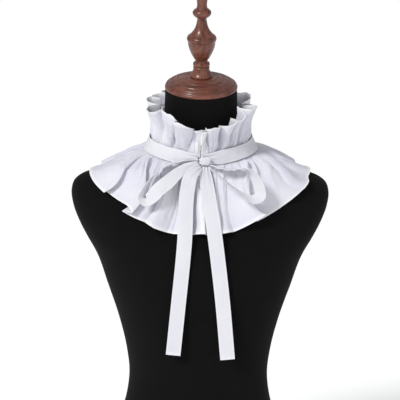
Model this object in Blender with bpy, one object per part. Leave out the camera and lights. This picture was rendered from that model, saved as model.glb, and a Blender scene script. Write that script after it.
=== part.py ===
"""A gathered cotton collar with a standing ruffle, a shoulder flounce and a ribbon bow, on a limbless dress form.

Lengths are metres, angles degrees, +Z is up and the front faces -Y. The form stands on z = 0 with its axis on x = 0.
An azimuth is counted round the neck from the front centre: 90 is +X, 180 the back, 270 is -X.
The collar follows the form: each cloth is a patch of the form's own surface moved out, with its folds on top.
"""

import math
from collections import Counter, namedtuple

import bpy
import numpy as np

CLOTH = 0.0012
RIBBON = 0.0010
RIBBON_WIDTH = 0.022
GAP = 0.0003
SEAM_ALLOWANCE = 0.0005

Look = namedtuple("Look", "colour roughness")
COTTON = Look((0.80, 0.80, 0.86), 0.80)
SATIN = Look((0.84, 0.84, 0.90), 0.45)
WOOD = Look((0.16, 0.075, 0.05), 0.35)
JERSEY = Look((0.010, 0.010, 0.011), 0.85)

NECK_TILT = 16.0
NECK_TOP = 0.647
NECK_TILT_FROM = 0.600
NECK_TOP_FORWARD = 0.018
FORM_RINGS = 26
FORM_SEGMENTS = 40

Section = namedtuple("Section", "height half_width front back widest squareness")
FORM_SECTIONS = [
    Section(0.000, 0.1580, -0.097, 0.112, 0.010, 2.20),
    Section(0.060, 0.1470, -0.096, 0.108, 0.008, 2.20),
    Section(0.120, 0.1270, -0.091, 0.094, 0.004, 2.15),
    Section(0.165, 0.1125, -0.087, 0.083, 0.002, 2.10),
    Section(0.205, 0.1080, -0.086, 0.079, 0.000, 2.10),
    Section(0.242, 0.1124, -0.089, 0.080, 0.000, 2.10),
    Section(0.292, 0.1248, -0.096, 0.087, 0.000, 2.10),
    Section(0.342, 0.1420, -0.101, 0.097, 0.002, 2.15),
    Section(0.392, 0.1604, -0.101, 0.107, 0.004, 2.20),
    Section(0.417, 0.1750, -0.097, 0.110, 0.005, 2.20),
    Section(0.442, 0.1880, -0.090, 0.110, 0.006, 2.20),
    Section(0.467, 0.1972, -0.081, 0.108, 0.008, 2.20),
    Section(0.488, 0.1996, -0.073, 0.104, 0.010, 2.20),
    Section(0.502, 0.1955, -0.068, 0.100, 0.012, 2.20),
    Section(0.511, 0.1850, -0.065, 0.097, 0.012, 2.20),
    Section(0.517, 0.1700, -0.063, 0.095, 0.012, 2.20),
    Section(0.524, 0.1430, -0.060, 0.092, 0.012, 2.15),
    Section(0.531, 0.1170, -0.058, 0.089, 0.012, 2.10),
    Section(0.539, 0.0970, -0.056, 0.085, 0.010, 2.05),
    Section(0.548, 0.0840, -0.055, 0.080, 0.008, 2.00),
    Section(0.560, 0.0735, -0.054, 0.073, 0.005, 2.00),
    Section(0.575, 0.0660, -0.055, 0.066, 0.002, 2.00),
    Section(0.592, 0.0600, -0.059, 0.058, -0.002, 2.00),
    Section(0.612, 0.0567, -0.065, 0.050, -0.008, 2.00),
    Section(0.640, 0.0550, -0.073, 0.041, -0.016, 2.00),
    Section(0.672, 0.0548, -0.082, 0.032, -0.025, 2.00),
]

Turning = namedtuple("Turning", "radius height")
CAP_RADIUS = 0.0553
CAP_SEGMENTS = 32
CAP_TURNING = [
    Turning(0.0535, 0.0000),
    Turning(CAP_RADIUS, 0.0018),
    Turning(CAP_RADIUS, 0.0042),
    Turning(0.0528, 0.0082),
    Turning(0.0508, 0.0084),
    Turning(0.0462, 0.0124),
    Turning(0.0440, 0.0122),
    Turning(0.0370, 0.0158),
    Turning(0.0348, 0.0156),
    Turning(0.0270, 0.0180),
    Turning(0.0190, 0.0185),
]
FINIAL_SEGMENTS = 16
FINIAL_TURNING = [
    Turning(0.0160, 0.0188),
    Turning(0.0170, 0.0208),
    Turning(0.0150, 0.0246),
    Turning(0.0124, 0.0300),
    Turning(0.0124, 0.0335),
    Turning(0.0112, 0.0352),
    Turning(0.0124, 0.0367),
    Turning(0.0122, 0.0410),
    Turning(0.0083, 0.0423),
    Turning(0.0108, 0.0465),
    Turning(0.0140, 0.0521),
    Turning(0.0178, 0.0600),
    Turning(0.0204, 0.0687),
    Turning(0.0211, 0.0754),
    Turning(0.0223, 0.0770),
    Turning(0.0223, 0.0812),
    Turning(0.0168, 0.0862),
    Turning(0.0122, 0.0920),
    Turning(0.0094, 0.0978),
    Turning(0.0078, 0.1040),
    Turning(0.0077, 0.1116),
    Turning(0.0118, 0.1141),
    Turning(0.0141, 0.1191),
    Turning(0.0112, 0.1241),
    Turning(0.0080, 0.1266),
    Turning(0.0082, 0.1480),
    Turning(0.0062, 0.1545),
    Turning(0.0025, 0.1570),
]

Around = namedtuple("Around", "front side back")
SEAM_HEIGHT = Around(0.5425, 0.5596, 0.5830)
SEAM_CLEARANCE = 0.0045
NECK_AXIS = 0.004

GATHERS = 44
GATHER_DEPTH = 0.0024
GATHER_PEAK = 0.20
PRESSED_TO = 0.004
PRESS_FADES = 0.018
SEAM_OPENING = 0.35
LAP_LIFT = 0.0015
SPREAD_BY = 0.9

Fold = namedtuple("Fold", "width height lean valley crest slant skew", defaults=(0.0, 1.0))
Cloth = namedtuple("Cloth", "folds start length shares middle growth spreads_from lean_growth bulb bow")
CREST_POWER = 3

FLOUNCE_PUFF = Around(0.0015, 0.0085, 0.0060)
PUFF_PEAK = 0.36
FLOUNCE_REST = 0.0004
FLOUNCE_PITCH = 0.0078
FLOUNCE_DROP = 0.0150
HEM_REACH = 0.15
FLOUNCE = Cloth(
    folds=[
        Fold(14.0, 0.0025, 0.0, -0.001, 0.000),
        Fold(21.0, 0.0095, 2.0, 0.002, 0.004),
        Fold(16.0, 0.0150, 8.0, 0.004, 0.001, 4.0),
        Fold(25.0, 0.0060, 4.0, 0.003, 0.004, 12.0, 2.0),
        Fold(9.0, 0.0080, 0.0, 0.003, 0.003, 0.0, 0.8),
        Fold(26.0, 0.0065, -4.0, 0.000, 0.001, 12.0),
        Fold(25.0, 0.0160, -3.0, -0.002, 0.000, 2.0),
        Fold(21.0, 0.0150, 5.0, -0.002, 0.001),
        Fold(24.0, 0.0187, 0.0, -0.003, 0.000),
        Fold(22.0, 0.0150, -5.0, -0.002, 0.002),
        Fold(23.0, 0.0175, 2.0, -0.003, 0.000),
        Fold(22.0, 0.0150, -4.0, -0.002, 0.001),
        Fold(15.0, 0.0090, 2.0, -0.002, -0.001),
        Fold(28.0, 0.0150, 6.0, 0.000, 0.001, 0.0, 2.2),
        Fold(16.0, 0.0175, 7.0, 0.001, -0.004, -1.0, 1.5),
        Fold(16.0, 0.0060, 0.0, 0.008, 0.006),
        Fold(18.0, 0.0175, -3.0, 0.003, 0.007, 0.0, 0.6),
        Fold(14.0, 0.0110, 0.0, 0.005, 0.005, 2.0),
        Fold(15.0, 0.0095, 0.0, 0.002, 0.001),
    ],
    start=-5.0,
    length=Around(0.115, 0.095, 0.108),
    shares=[0.0, 0.09, 0.17, 0.27, 0.40, 0.54, 0.69, 0.84, 1.0],
    middle=0.0,
    growth=0.8,
    spreads_from=0.0,
    lean_growth=0.8,
    bulb=0.0,
    bow=9.0,
)

RUFFLE_FLARE = Around(0.0160, 0.0125, 0.0170)
RUFFLE_RISE = 0.0200
RUFFLE_COLUMNS = 9
RUFFLE = Cloth(
    folds=[
        Fold(10.0, 0.0040, 0.0, -0.002, 0.002),
        Fold(16.0, 0.0200, -2.0, 0.000, 0.008),
        Fold(14.0, 0.0200, 2.0, 0.000, 0.006),
        Fold(12.0, 0.0180, -1.0, 0.006, 0.004),
        Fold(22.0, 0.0220, 3.0, 0.017, 0.007),
        Fold(20.0, 0.0190, -5.0, 0.004, -0.001),
        Fold(19.0, 0.0190, 4.0, -0.003, 0.002),
        Fold(20.0, 0.0180, -3.0, 0.003, -0.003),
        Fold(19.0, 0.0185, 4.0, -0.003, 0.001),
        Fold(21.0, 0.0190, -3.0, 0.003, -0.001),
        Fold(20.0, 0.0180, 3.0, -0.002, 0.002),
        Fold(19.0, 0.0180, -4.0, 0.003, -0.002),
        Fold(20.0, 0.0185, 4.0, -0.004, -0.001),
        Fold(20.0, 0.0180, -3.0, -0.002, -0.002),
        Fold(19.0, 0.0190, 3.0, 0.003, -0.002),
        Fold(20.0, 0.0190, -4.0, 0.002, 0.003),
        Fold(24.0, 0.0215, 4.0, 0.004, 0.003),
        Fold(22.0, 0.0205, 5.0, 0.016, 0.017),
        Fold(17.0, 0.0170, -2.0, 0.000, 0.006),
        Fold(11.0, 0.0060, 0.0, -0.002, 0.002),
    ],
    start=-4.0,
    length=Around(0.047, 0.068, 0.060),
    shares=[0.0, 0.20, 0.38, 0.58, 0.80, 1.0],
    middle=0.5,
    growth=1.0,
    spreads_from=0.22,
    lean_growth=1.5,
    bulb=0.0,
    bow=0.0,
)

BAND_LIFT = 0.0027
BAND_END = 4.0
BAND_COLUMNS = 73
BAND_ROWS = 3

Size = namedtuple("Size", "width depth height")
KNOT_CENTRE = (0.0070, -0.0716, 0.5412)
KNOT_SIZE = Size(0.0190, 0.0096, 0.0160)
KNOT_RINGS = 8
KNOT_SEGMENTS = 16
KNOT_ROUNDNESS = 2.6

Station = namedtuple("Station", "x y z turn width")
STRAND_STEP = 0.007
STRAND_COLUMNS = 3
LEFT_LOOP = [
    Station(-0.0032, -0.0700, 0.5428, 90, 0.006),
    Station(-0.0240, -0.0715, 0.5410, 90, 0.012),
    Station(-0.0440, -0.0775, 0.5365, 90, 0.019),
    Station(-0.0630, -0.0825, 0.5260, 88, 0.022),
    Station(-0.0785, -0.0885, 0.5150, 80, 0.022),
    Station(-0.0895, -0.0945, 0.5010, 70, 0.022),
    Station(-0.0918, -0.0985, 0.4915, 62, 0.022),
    Station(-0.0865, -0.1005, 0.4860, 52, 0.022),
    Station(-0.0755, -0.1020, 0.4905, 38, 0.022),
    Station(-0.0610, -0.1010, 0.5010, 26, 0.022),
    Station(-0.0475, -0.0955, 0.5115, 20, 0.021),
    Station(-0.0350, -0.0870, 0.5225, 22, 0.018),
    Station(-0.0210, -0.0790, 0.5320, 30, 0.013),
    Station(-0.0035, -0.0740, 0.5375, 40, 0.008),
]
RIGHT_LOOP = [
    Station(0.0152, -0.0745, 0.5350, 90, 0.007),
    Station(0.0260, -0.0775, 0.5325, 90, 0.016),
    Station(0.0415, -0.0800, 0.5300, 90, 0.022),
    Station(0.0595, -0.0810, 0.5310, 95, 0.022),
    Station(0.0720, -0.0835, 0.5280, 110, 0.022),
    Station(0.0820, -0.0870, 0.5180, 130, 0.022),
    Station(0.0895, -0.0900, 0.5045, 138, 0.022),
    Station(0.0895, -0.0950, 0.4910, 135, 0.022),
    Station(0.0805, -0.0985, 0.4860, 120, 0.022),
    Station(0.0685, -0.0985, 0.4905, 105, 0.022),
    Station(0.0535, -0.0950, 0.5005, 95, 0.022),
    Station(0.0340, -0.0900, 0.5150, 90, 0.018),
    Station(0.0235, -0.0830, 0.5235, 90, 0.012),
    Station(0.0135, -0.0760, 0.5315, 90, 0.007),
]
LEFT_TAIL = [
    Station(0.0005, -0.0775, 0.5322, 5, 0.010),
    Station(-0.0060, -0.0840, 0.5275, 0, 0.016),
    Station(-0.0130, -0.0885, 0.5210, 0, 0.020),
    Station(-0.0190, -0.0900, 0.4985, 0, 0.022),
    Station(-0.0210, -0.0950, 0.4755, 0, 0.022),
    Station(-0.0213, -0.1045, 0.4530, 0, 0.022),
    Station(-0.0220, -0.1070, 0.4295, 0, 0.022),
    Station(-0.0250, -0.1065, 0.3885, 0, 0.022),
    Station(-0.0300, -0.1060, 0.3355, 0, 0.022),
    Station(-0.0380, -0.1050, 0.2505, 0, 0.022),
]
RIGHT_TAIL = [
    Station(0.0080, -0.0728, 0.5318, 15, 0.010),
    Station(0.0080, -0.0755, 0.5205, 15, 0.018),
    Station(0.0110, -0.0830, 0.4985, 10, 0.021),
    Station(0.0150, -0.0930, 0.4755, 5, 0.022),
    Station(0.0195, -0.1025, 0.4525, 0, 0.022),
    Station(0.0230, -0.1068, 0.4295, 0, 0.022),
    Station(0.0285, -0.1060, 0.3890, 0, 0.022),
    Station(0.0350, -0.1050, 0.3360, 0, 0.022),
    Station(0.0440, -0.1045, 0.2445, 0, 0.022),
]

BASE_STEP = 0.0025
BASE_AZIMUTHS = 240


def spline(knots, values, at):
    """A smooth curve through the values at the knots, read at the given places."""
    slopes = np.gradient(values, knots, axis=0)
    first = np.clip(np.searchsorted(knots, at, side="right") - 1, 0, len(knots) - 2)
    width = (knots[first + 1] - knots[first])[:, None]
    t = (at - knots[first])[:, None] / width
    start, end = values[first], values[first + 1]
    return (
        start * (1 + 2 * t) * (1 - t) ** 2
        + end * t**2 * (3 - 2 * t)
        + width * slopes[first] * t * (1 - t) ** 2
        - width * slopes[first + 1] * t**2 * (1 - t)
    )


def along(points, count, measured=3):
    """The smooth curve through the points, at equal steps of its length in the first columns."""
    points = np.array(points, float)
    knots = np.r_[0, np.cumsum(np.linalg.norm(np.diff(points[:, :measured], axis=0), axis=1))]
    fine = spline(knots, points, np.linspace(0, knots[-1], 40 * len(points)))
    run = np.r_[0, np.cumsum(np.linalg.norm(np.diff(fine[:, :measured], axis=0), axis=1))]
    steps = np.linspace(0, run[-1], count)
    return np.stack([np.interp(steps, run, column) for column in fine.T], axis=1)


def around(sizes, azimuth):
    """A size that turns smoothly from its front value through its side value to its back value."""
    cosine = np.cos(np.radians(azimuth))
    mean = (sizes.front + sizes.back) / 2 - sizes.side
    return sizes.side + (sizes.front - sizes.back) / 2 * cosine + mean * cosine**2


def smooth_step(x):
    x = np.clip(x, 0, 1)
    return x * x * (3 - 2 * x)


FORM_CURVE = along(FORM_SECTIONS, 900, measured=4)


def section_at(height):
    """Half width, front, back, widest line and squareness of the form at each height."""
    return [np.interp(height, FORM_CURVE[:, 0], column) for column in FORM_CURVE.T[1:]]


def form_level(point):
    """How far a point lies outside the form's section at its own height, as a share of that section."""
    half_width, front, back, widest, squareness = section_at(point[..., 2])
    y = point[..., 1] - widest
    depth = np.where(y < 0, widest - front, back - widest)
    sum_of_shares = np.abs(point[..., 0] / half_width) ** squareness + np.abs(y / depth) ** squareness
    return sum_of_shares ** (1 / squareness) - 1


def off_form(point):
    """The distance of each point from the form, and the direction straight away from it."""
    step = 0.0008
    slope = np.stack(
        [(form_level(point + step * axis) - form_level(point - step * axis)) / (2 * step) for axis in np.eye(3)],
        axis=-1,
    )
    size = np.linalg.norm(slope, axis=-1)
    return form_level(point) / size, slope / size[..., None]


def outwards(azimuth):
    """The level direction away from the neck's axis."""
    angle = np.radians(azimuth)
    return np.stack([np.sin(angle), -np.cos(angle), 0 * angle], axis=-1)


def settle(point, azimuth, clearance):
    """Moves each point in its own upright plane until it has the given distance from the form."""
    direction = outwards(azimuth)
    for _ in range(3):
        distance, normal = off_form(point)
        level_part = (normal * direction).sum(-1)
        steep = np.stack([direction[..., 0] * level_part, direction[..., 1] * level_part, normal[..., 2]], -1)
        point = point + ((clearance - distance) / (steep**2).sum(-1))[..., None] * steep
    return point


def seam_ring(azimuth):
    """The line where ruffle and flounce meet, in a plane that drops to the front."""
    point = np.array([0, NECK_AXIS, 0]) + 0.078 * outwards(azimuth)
    point[..., 2] = around(SEAM_HEIGHT, azimuth)
    for _ in range(6):
        distance, normal = off_form(point)
        radial = (normal * outwards(azimuth)).sum(-1)
        point = point + ((SEAM_CLEARANCE - distance) / radial)[..., None] * outwards(azimuth)
    return point


def march(clearance, reach, way):
    """The form's surface moved out, as rows of points that start at the seam and run down (way 1) or up (way -1).

    Each step goes one step's length along the surface in the upright plane of its azimuth.
    """
    azimuth = np.linspace(-15, 375, BASE_AZIMUTHS)
    point = seam_ring(azimuth)
    rows = [point]
    for k in range(1, math.ceil(reach / BASE_STEP) + 1):
        normal = off_form(point)[1]
        direction = outwards(azimuth)
        level_part = (normal * direction).sum(-1)
        along_form = np.stack(
            [direction[:, 0] * normal[:, 2], direction[:, 1] * normal[:, 2], -level_part], axis=-1
        )
        along_form *= way * BASE_STEP / np.linalg.norm(along_form, axis=-1, keepdims=True)
        point = settle(point + along_form, azimuth, clearance(azimuth, k * BASE_STEP))
        rows.append(point)
    return azimuth, np.array(rows)


def read_base(base, azimuth, distance):
    """The base surface at an azimuth and at a distance from the seam, read between its points."""
    azimuths, rows = base
    a = (azimuth - azimuths[0]) / (azimuths[1] - azimuths[0])
    d = distance / BASE_STEP
    i = np.clip(np.floor(a).astype(int), 0, len(azimuths) - 2)
    j = np.clip(np.floor(d).astype(int), 0, len(rows) - 2)
    a, d = (a - i)[..., None], (d - j)[..., None]
    near = rows[j, i] * (1 - a) + rows[j, i + 1] * a
    far = rows[j + 1, i] * (1 - a) + rows[j + 1, i + 1] * a
    return near * (1 - d) + far * d


def gather(azimuth, share):
    """Small radial gathers: none in the seam itself, deepest just past it, fading towards the edge."""
    swell = share / GATHER_PEAK * np.exp(1 - share / GATHER_PEAK)
    return GATHER_DEPTH * swell * (1 - np.cos(np.radians(GATHERS * azimuth))) / 2


def columns_of(counts):
    """Each column's row in the table of folds, and its phase there. The last fold ends on its crest, at half."""
    row = np.repeat(np.arange(len(counts)), counts)
    within = np.concatenate([np.arange(count) for count in counts])
    phase = within / np.repeat(counts, counts)
    row, phase = np.r_[row, len(counts) - 1], np.r_[phase, 1.0]
    return row, np.where(row == len(counts) - 1, phase / 2, phase)


def folded(base, cloth, counts):
    """A cloth's points: its base surface with the folds of its table, which grow from the seam to the edge.

    A fold rises as 1 - |cos| to the crest power of its phase, which the skew bends, and its high part leans round
    by its lean. The bulb widens its upper half, and the bow carries all of a cloth's middle to the front. The
    valley and crest columns lengthen the cloth there, and the slant moves a valley's start at the seam.
    At the seam the cloth's ends stop short of each other, and towards the edge the last lies over the first.
    """
    row, phase = columns_of(counts)
    table = np.array(cloth.folds)
    width, height, lean = table[row, :3].T
    last = row == len(table) - 1
    whole = row + np.where(last, 2 * phase, phase)
    valleys = np.r_[0, np.cumsum(table[:, 0])]
    edge_azimuth = cloth.start + np.interp(whole, np.arange(len(valleys)), valleys)
    at_seam = valleys / valleys[-1] * (360 - 2 * SEAM_OPENING) + np.r_[table[:, 5], 0]
    seam_azimuth = SEAM_OPENING + np.interp(whole, np.arange(len(valleys)), at_seam)
    crest = 1 - np.abs(np.cos(math.pi * phase ** table[row, 6])) ** CREST_POWER
    share = np.array(cloth.shares)[:, None]
    spread = smooth_step((share - cloth.spreads_from) / (SPREAD_BY - cloth.spreads_from))
    azimuth = seam_azimuth + (edge_azimuth - seam_azimuth) * spread
    swell = -cloth.bulb * width * np.sin(2 * math.pi * phase)
    plain = azimuth + (lean * crest + swell) * share**cloth.lean_growth
    azimuth = plain - cloth.bow * np.sin(np.radians(plain)) * 4 * share * (1 - share)
    hem = np.interp(whole, np.arange(2 * len(table)) / 2, table[:, 3:5].ravel())
    reach = around(cloth.length, azimuth) + hem * share**2
    distance = np.maximum(share * reach, SEAM_ALLOWANCE)
    free = smooth_step((distance - PRESSED_TO) / PRESS_FADES)
    lap = LAP_LIFT * crest * last
    lift = free * (height * (crest - cloth.middle) * share**cloth.growth + gather(plain, share) + lap)
    point = read_base(base, azimuth, distance)
    return point + lift[..., None] * off_form(point)[1]


def material(name, colour, roughness):
    made = bpy.data.materials.new(name)
    made.use_nodes = True
    shader = made.node_tree.nodes["Principled BSDF"]
    shader.inputs["Base Color"].default_value = (*colour, 1)
    shader.inputs["Roughness"].default_value = roughness
    shader.inputs["Metallic"].default_value = 0.0
    made.diffuse_color = (*colour, 1)
    return made


def add_object(name, points, faces, look):
    mesh = bpy.data.meshes.new(name)
    mesh.from_pydata(points.reshape(-1, 3).tolist(), [], faces)
    mesh.materials.append(material(name, *look))
    mesh.shade_smooth()
    made = bpy.data.objects.new(name, mesh)
    bpy.context.scene.collection.objects.link(made)
    return made


def sheet(name, points, thickness, look):
    """A cloth wall over a grid of points: the grid is its inner face, and its outer face is the thickness away."""
    rows, columns = points.shape[:2]
    index = np.arange(rows * columns).reshape(rows, columns)
    faces = np.stack([index[:-1, :-1], index[1:, :-1], index[1:, 1:], index[:-1, 1:]], axis=-1)
    made = add_object(name, points, faces.reshape(-1, 4).tolist(), look)
    uses = Counter(key for polygon in made.data.polygons for key in polygon.edge_keys)
    for edge in made.data.edges:
        edge.use_edge_sharp = uses[edge.key] == 1
    wall = made.modifiers.new("wall", "SOLIDIFY")
    wall.thickness = thickness
    wall.offset = 1.0
    return made


def skin(name, rings, look):
    """A closed solid over rings of points, with a flat face on its first and last ring."""
    count, segments = rings.shape[:2]
    index = np.arange(count * segments).reshape(count, segments)
    turned = np.roll(index, -1, axis=1)
    faces = np.stack([index[:-1], turned[:-1], turned[1:], index[1:]], axis=-1)
    faces = faces.reshape(-1, 4).tolist()
    faces += [index[0, ::-1].tolist(), index[-1].tolist()]
    return add_object(name, rings, faces, look)


def form_ring(height, tilt):
    """One ring of the form: its section at each point's own height, in a plane that drops to the front by the tilt."""
    angle = np.linspace(0, 2 * math.pi, FORM_SEGMENTS, endpoint=False)
    z = np.full(FORM_SEGMENTS, height)
    middle = section_at(height)[3]
    for _ in range(6):
        half_width, front, back, widest, squareness = section_at(z)
        side, depth = np.cos(angle), np.sin(angle)
        reach = (np.abs(side) ** squareness + np.abs(depth) ** squareness) ** (-1 / squareness)
        y = widest + reach * depth * np.where(depth < 0, widest - front, back - widest)
        x = reach * side * half_width
        z = height + math.tan(math.radians(tilt)) * (y - middle)
    return np.stack([x, y, z], axis=1)


def form_torso():
    """The form, from its flat base at the hips to the tilted top of its neck."""
    curve = along(FORM_SECTIONS[:-1], 900, measured=4)
    curve = curve[curve[:, 0] < NECK_TOP]
    heights = curve[np.linspace(0, len(curve) - 1, FORM_RINGS).astype(int), 0]
    heights[-1] = NECK_TOP
    rings = []
    for height in heights:
        tilt = NECK_TILT * smooth_step((height - NECK_TILT_FROM) / (NECK_TOP - NECK_TILT_FROM))
        rings.append(form_ring(height, tilt))
    return skin("form_torso", np.array(rings), JERSEY)


def turned(name, turnings, segments, look):
    """A turned piece on the neck's axis, which leans forward with the neck."""
    angle = np.linspace(0, 2 * math.pi, segments, endpoint=False)
    lean = math.radians(NECK_TILT)
    rings = []
    for turning in turnings:
        x = turning.radius * np.cos(angle)
        y = turning.radius * np.sin(angle)
        z = np.full(segments, turning.height + GAP)
        rings.append(
            np.stack(
                [
                    x,
                    y * math.cos(lean) - z * math.sin(lean) - NECK_TOP_FORWARD,
                    y * math.sin(lean) + z * math.cos(lean) + NECK_TOP,
                ],
                axis=1,
            )
        )
    return skin(name, np.array(rings), look)


def flounce_base():
    """The surface that the flounce's folds stand on: close to the form at the seam and hem, puffed between."""

    def clearance(azimuth, distance):
        share = np.clip(distance / around(FLOUNCE.length, azimuth), 0, 1)
        bell = np.minimum(smooth_step(share / PUFF_PEAK), smooth_step((1 - share) / (1 - PUFF_PEAK)))
        puff = around(FLOUNCE_PUFF, azimuth) * bell
        return FLOUNCE_REST + (SEAM_CLEARANCE - FLOUNCE_REST) * (1 - share) ** 3 + puff

    return march(clearance, max(FLOUNCE.length) + FLOUNCE_DROP, 1)


def flounce(base):
    """The shoulder flounce: open at the front, where its left end lies over its right end."""
    counts = []
    for fold in FLOUNCE.folds:
        level = math.radians(fold.width + abs(fold.lean) / 2) * HEM_REACH
        counts.append(round((level + 1.5 * fold.height) / FLOUNCE_PITCH))
    return sheet("flounce", folded(base, FLOUNCE, counts), CLOTH, COTTON)


def ruffle_base():
    """The surface that the standing ruffle's waves swing about: it leaves the neck more and more as it rises."""

    def clearance(azimuth, distance):
        share = np.clip(distance / around(RUFFLE.length, azimuth), 0, 1.1)
        return SEAM_CLEARANCE + around(RUFFLE_FLARE, azimuth) * share**1.6

    return march(clearance, max(RUFFLE.length) + RUFFLE_RISE, -1)


def stand_ruffle(base):
    """The standing ruffle: it rises from the seam along the neck and flares to a waved top edge."""
    points = folded(base, RUFFLE, [RUFFLE_COLUMNS] * len(RUFFLE.folds))
    return sheet("stand_ruffle", points[::-1], CLOTH, COTTON)


def tie_band(below, above):
    """The ribbon round the neck: straight across from the flounce to the ruffle, over the seam."""
    azimuth = np.linspace(BAND_END, 360 - BAND_END, BAND_COLUMNS)
    edges = []
    for base in (above, below):
        point = read_base(base, azimuth, np.full(BAND_COLUMNS, RIBBON_WIDTH / 2))
        edges.append(point + (CLOTH + BAND_LIFT + GAP) * off_form(point)[1])
    across = np.linspace(0, 1, BAND_ROWS)[:, None, None]
    return sheet("tie_band", edges[0] + across * (edges[1] - edges[0]), RIBBON, SATIN)


def bow_knot():
    """The knot: a small rounded pillow in front of the band's ends."""
    angle = np.linspace(0, 2 * math.pi, KNOT_SEGMENTS, endpoint=False)
    side = np.sign(np.cos(angle)) * np.abs(np.cos(angle)) ** (2 / KNOT_ROUNDNESS)
    depth = np.sign(np.sin(angle)) * np.abs(np.sin(angle)) ** (2 / KNOT_ROUNDNESS)
    rings = []
    for level in np.linspace(-1, 1, KNOT_RINGS + 2)[1:-1]:
        level = math.sin(level * math.pi / 2)
        scale = (1 - abs(level) ** KNOT_ROUNDNESS) ** (1 / KNOT_ROUNDNESS) / 2
        x = KNOT_CENTRE[0] + KNOT_SIZE.width * scale * side
        y = KNOT_CENTRE[1] + KNOT_SIZE.depth * scale * depth
        z = np.full(KNOT_SEGMENTS, KNOT_CENTRE[2] + KNOT_SIZE.height / 2 * level)
        rings.append(np.stack([x, y, z], axis=1))
    return skin("bow_knot", np.array(rings), SATIN)


def strand(name, stations):
    """A ribbon along its middle line. A turn of 0 shows its whole width to the front, and 90 shows its edge."""
    stations = np.array(stations)
    length = np.linalg.norm(np.diff(stations[:, :3], axis=0), axis=1).sum()
    rows = along(stations, round(length / STRAND_STEP) + 1)
    middle = rows[:, :3]
    heading = np.gradient(middle, axis=0)
    heading /= np.linalg.norm(heading, axis=1, keepdims=True)
    back = np.array([0.0, 1.0, 0.0])
    level = np.cross(heading, back)
    level /= np.linalg.norm(level, axis=1, keepdims=True)
    deep = np.cross(level, heading)
    turn = np.radians(rows[:, 3:4])
    half = rows[:, 4:5] / 2 * (np.cos(turn) * level + np.sin(turn) * deep)
    across = np.linspace(-1, 1, STRAND_COLUMNS)[:, None, None]
    points = np.swapaxes(middle + across * half, 0, 1)
    return sheet(name, points, RIBBON, SATIN)


def main():
    for leftover in list(bpy.data.objects):
        bpy.data.objects.remove(leftover, do_unlink=True)
    form_torso()
    turned("neck_cap", CAP_TURNING, CAP_SEGMENTS, WOOD)
    turned("finial", FINIAL_TURNING, FINIAL_SEGMENTS, WOOD)
    below = flounce_base()
    above = ruffle_base()
    flounce(below)
    stand_ruffle(above)
    tie_band(below, above)
    bow_knot()
    strand("bow_loop_left", LEFT_LOOP)
    strand("bow_loop_right", RIGHT_LOOP)
    strand("ribbon_tail_left", LEFT_TAIL)
    strand("ribbon_tail_right", RIGHT_TAIL)


main()
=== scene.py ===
"""Dressed model of a ruffled cotton collar with a ribbon bow, on a limbless dress form.

Lengths are metres, +Z is up and the front faces -Y. An azimuth is counted in degrees round the neck from
the front centre: 90 is +X, 180 the back, 270 is -X. The collar follows the form: each cloth is a patch of the
form's own surface moved out, with gathers, folds and creases on top.
"""

import logging
import math
from dataclasses import astuple, dataclass, field
from enum import Enum
from functools import partial
from typing import Callable, Sequence

import bpy
import numpy as np
from mathutils import Matrix, Vector

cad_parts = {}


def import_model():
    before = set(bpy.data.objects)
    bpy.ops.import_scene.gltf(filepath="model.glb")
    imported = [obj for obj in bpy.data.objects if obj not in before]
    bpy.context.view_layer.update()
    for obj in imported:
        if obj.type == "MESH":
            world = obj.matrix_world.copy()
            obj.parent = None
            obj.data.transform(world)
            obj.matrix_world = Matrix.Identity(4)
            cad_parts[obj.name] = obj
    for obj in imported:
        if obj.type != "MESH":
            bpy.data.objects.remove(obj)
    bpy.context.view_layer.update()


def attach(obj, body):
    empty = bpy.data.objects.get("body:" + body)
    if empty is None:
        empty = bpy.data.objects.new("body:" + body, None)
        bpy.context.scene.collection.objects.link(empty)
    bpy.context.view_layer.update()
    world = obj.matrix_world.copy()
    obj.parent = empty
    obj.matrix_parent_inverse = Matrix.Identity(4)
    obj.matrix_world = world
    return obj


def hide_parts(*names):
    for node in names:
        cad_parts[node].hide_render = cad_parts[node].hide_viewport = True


LOG = logging.getLogger("ruffled_collar")
Array = np.ndarray
Colour = tuple[float, float, float]
Stop = tuple[float, Colour]

GAP = 0.0003
SEAM_ALLOWANCE = 0.0005

NECK_TILT = 16.0
NECK_TOP = 0.647
NECK_TILT_FROM = 0.600
NECK_TOP_FORWARD = 0.018
SEAM_CLEARANCE = 0.0045
NECK_AXIS = 0.004
FINE_STEPS = 40


def spline(knots: Array, values: Array, at: Array) -> Array:
    """A smooth curve through values.

    Args:
        knots: where each value stands, rising.
        values: one row for each knot.
        at: where the curve is read.

    Returns:
        One row for each place in at.
    """
    slopes = np.gradient(values, knots, axis=0)
    first = np.clip(np.searchsorted(knots, at, side="right") - 1, 0, len(knots) - 2)
    width = (knots[first + 1] - knots[first])[:, None]
    t = (at - knots[first])[:, None] / width
    start, end = values[first], values[first + 1]
    return (
        start * (1 + 2 * t) * (1 - t) ** 2
        + end * t**2 * (3 - 2 * t)
        + width * slopes[first] * t * (1 - t) ** 2
        - width * slopes[first + 1] * t**2 * (1 - t)
    )


def along(points: Sequence, count: int, measured: int = 3) -> Array:
    """The smooth curve through points, at equal steps of its length.

    Args:
        points: rows whose first columns are the place, and whose others go with it.
        count: how many rows come back.
        measured: how many columns the length is measured in.

    Returns:
        The rows along the curve.
    """
    rows = np.array(points, float)
    knots = np.r_[0, np.cumsum(np.linalg.norm(np.diff(rows[:, :measured], axis=0), axis=1))]
    fine = spline(knots, rows, np.linspace(0, knots[-1], FINE_STEPS * len(rows)))
    run = np.r_[0, np.cumsum(np.linalg.norm(np.diff(fine[:, :measured], axis=0), axis=1))]
    steps = np.linspace(0, run[-1], count)
    return np.stack([np.interp(steps, run, column) for column in fine.T], axis=1)


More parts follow.
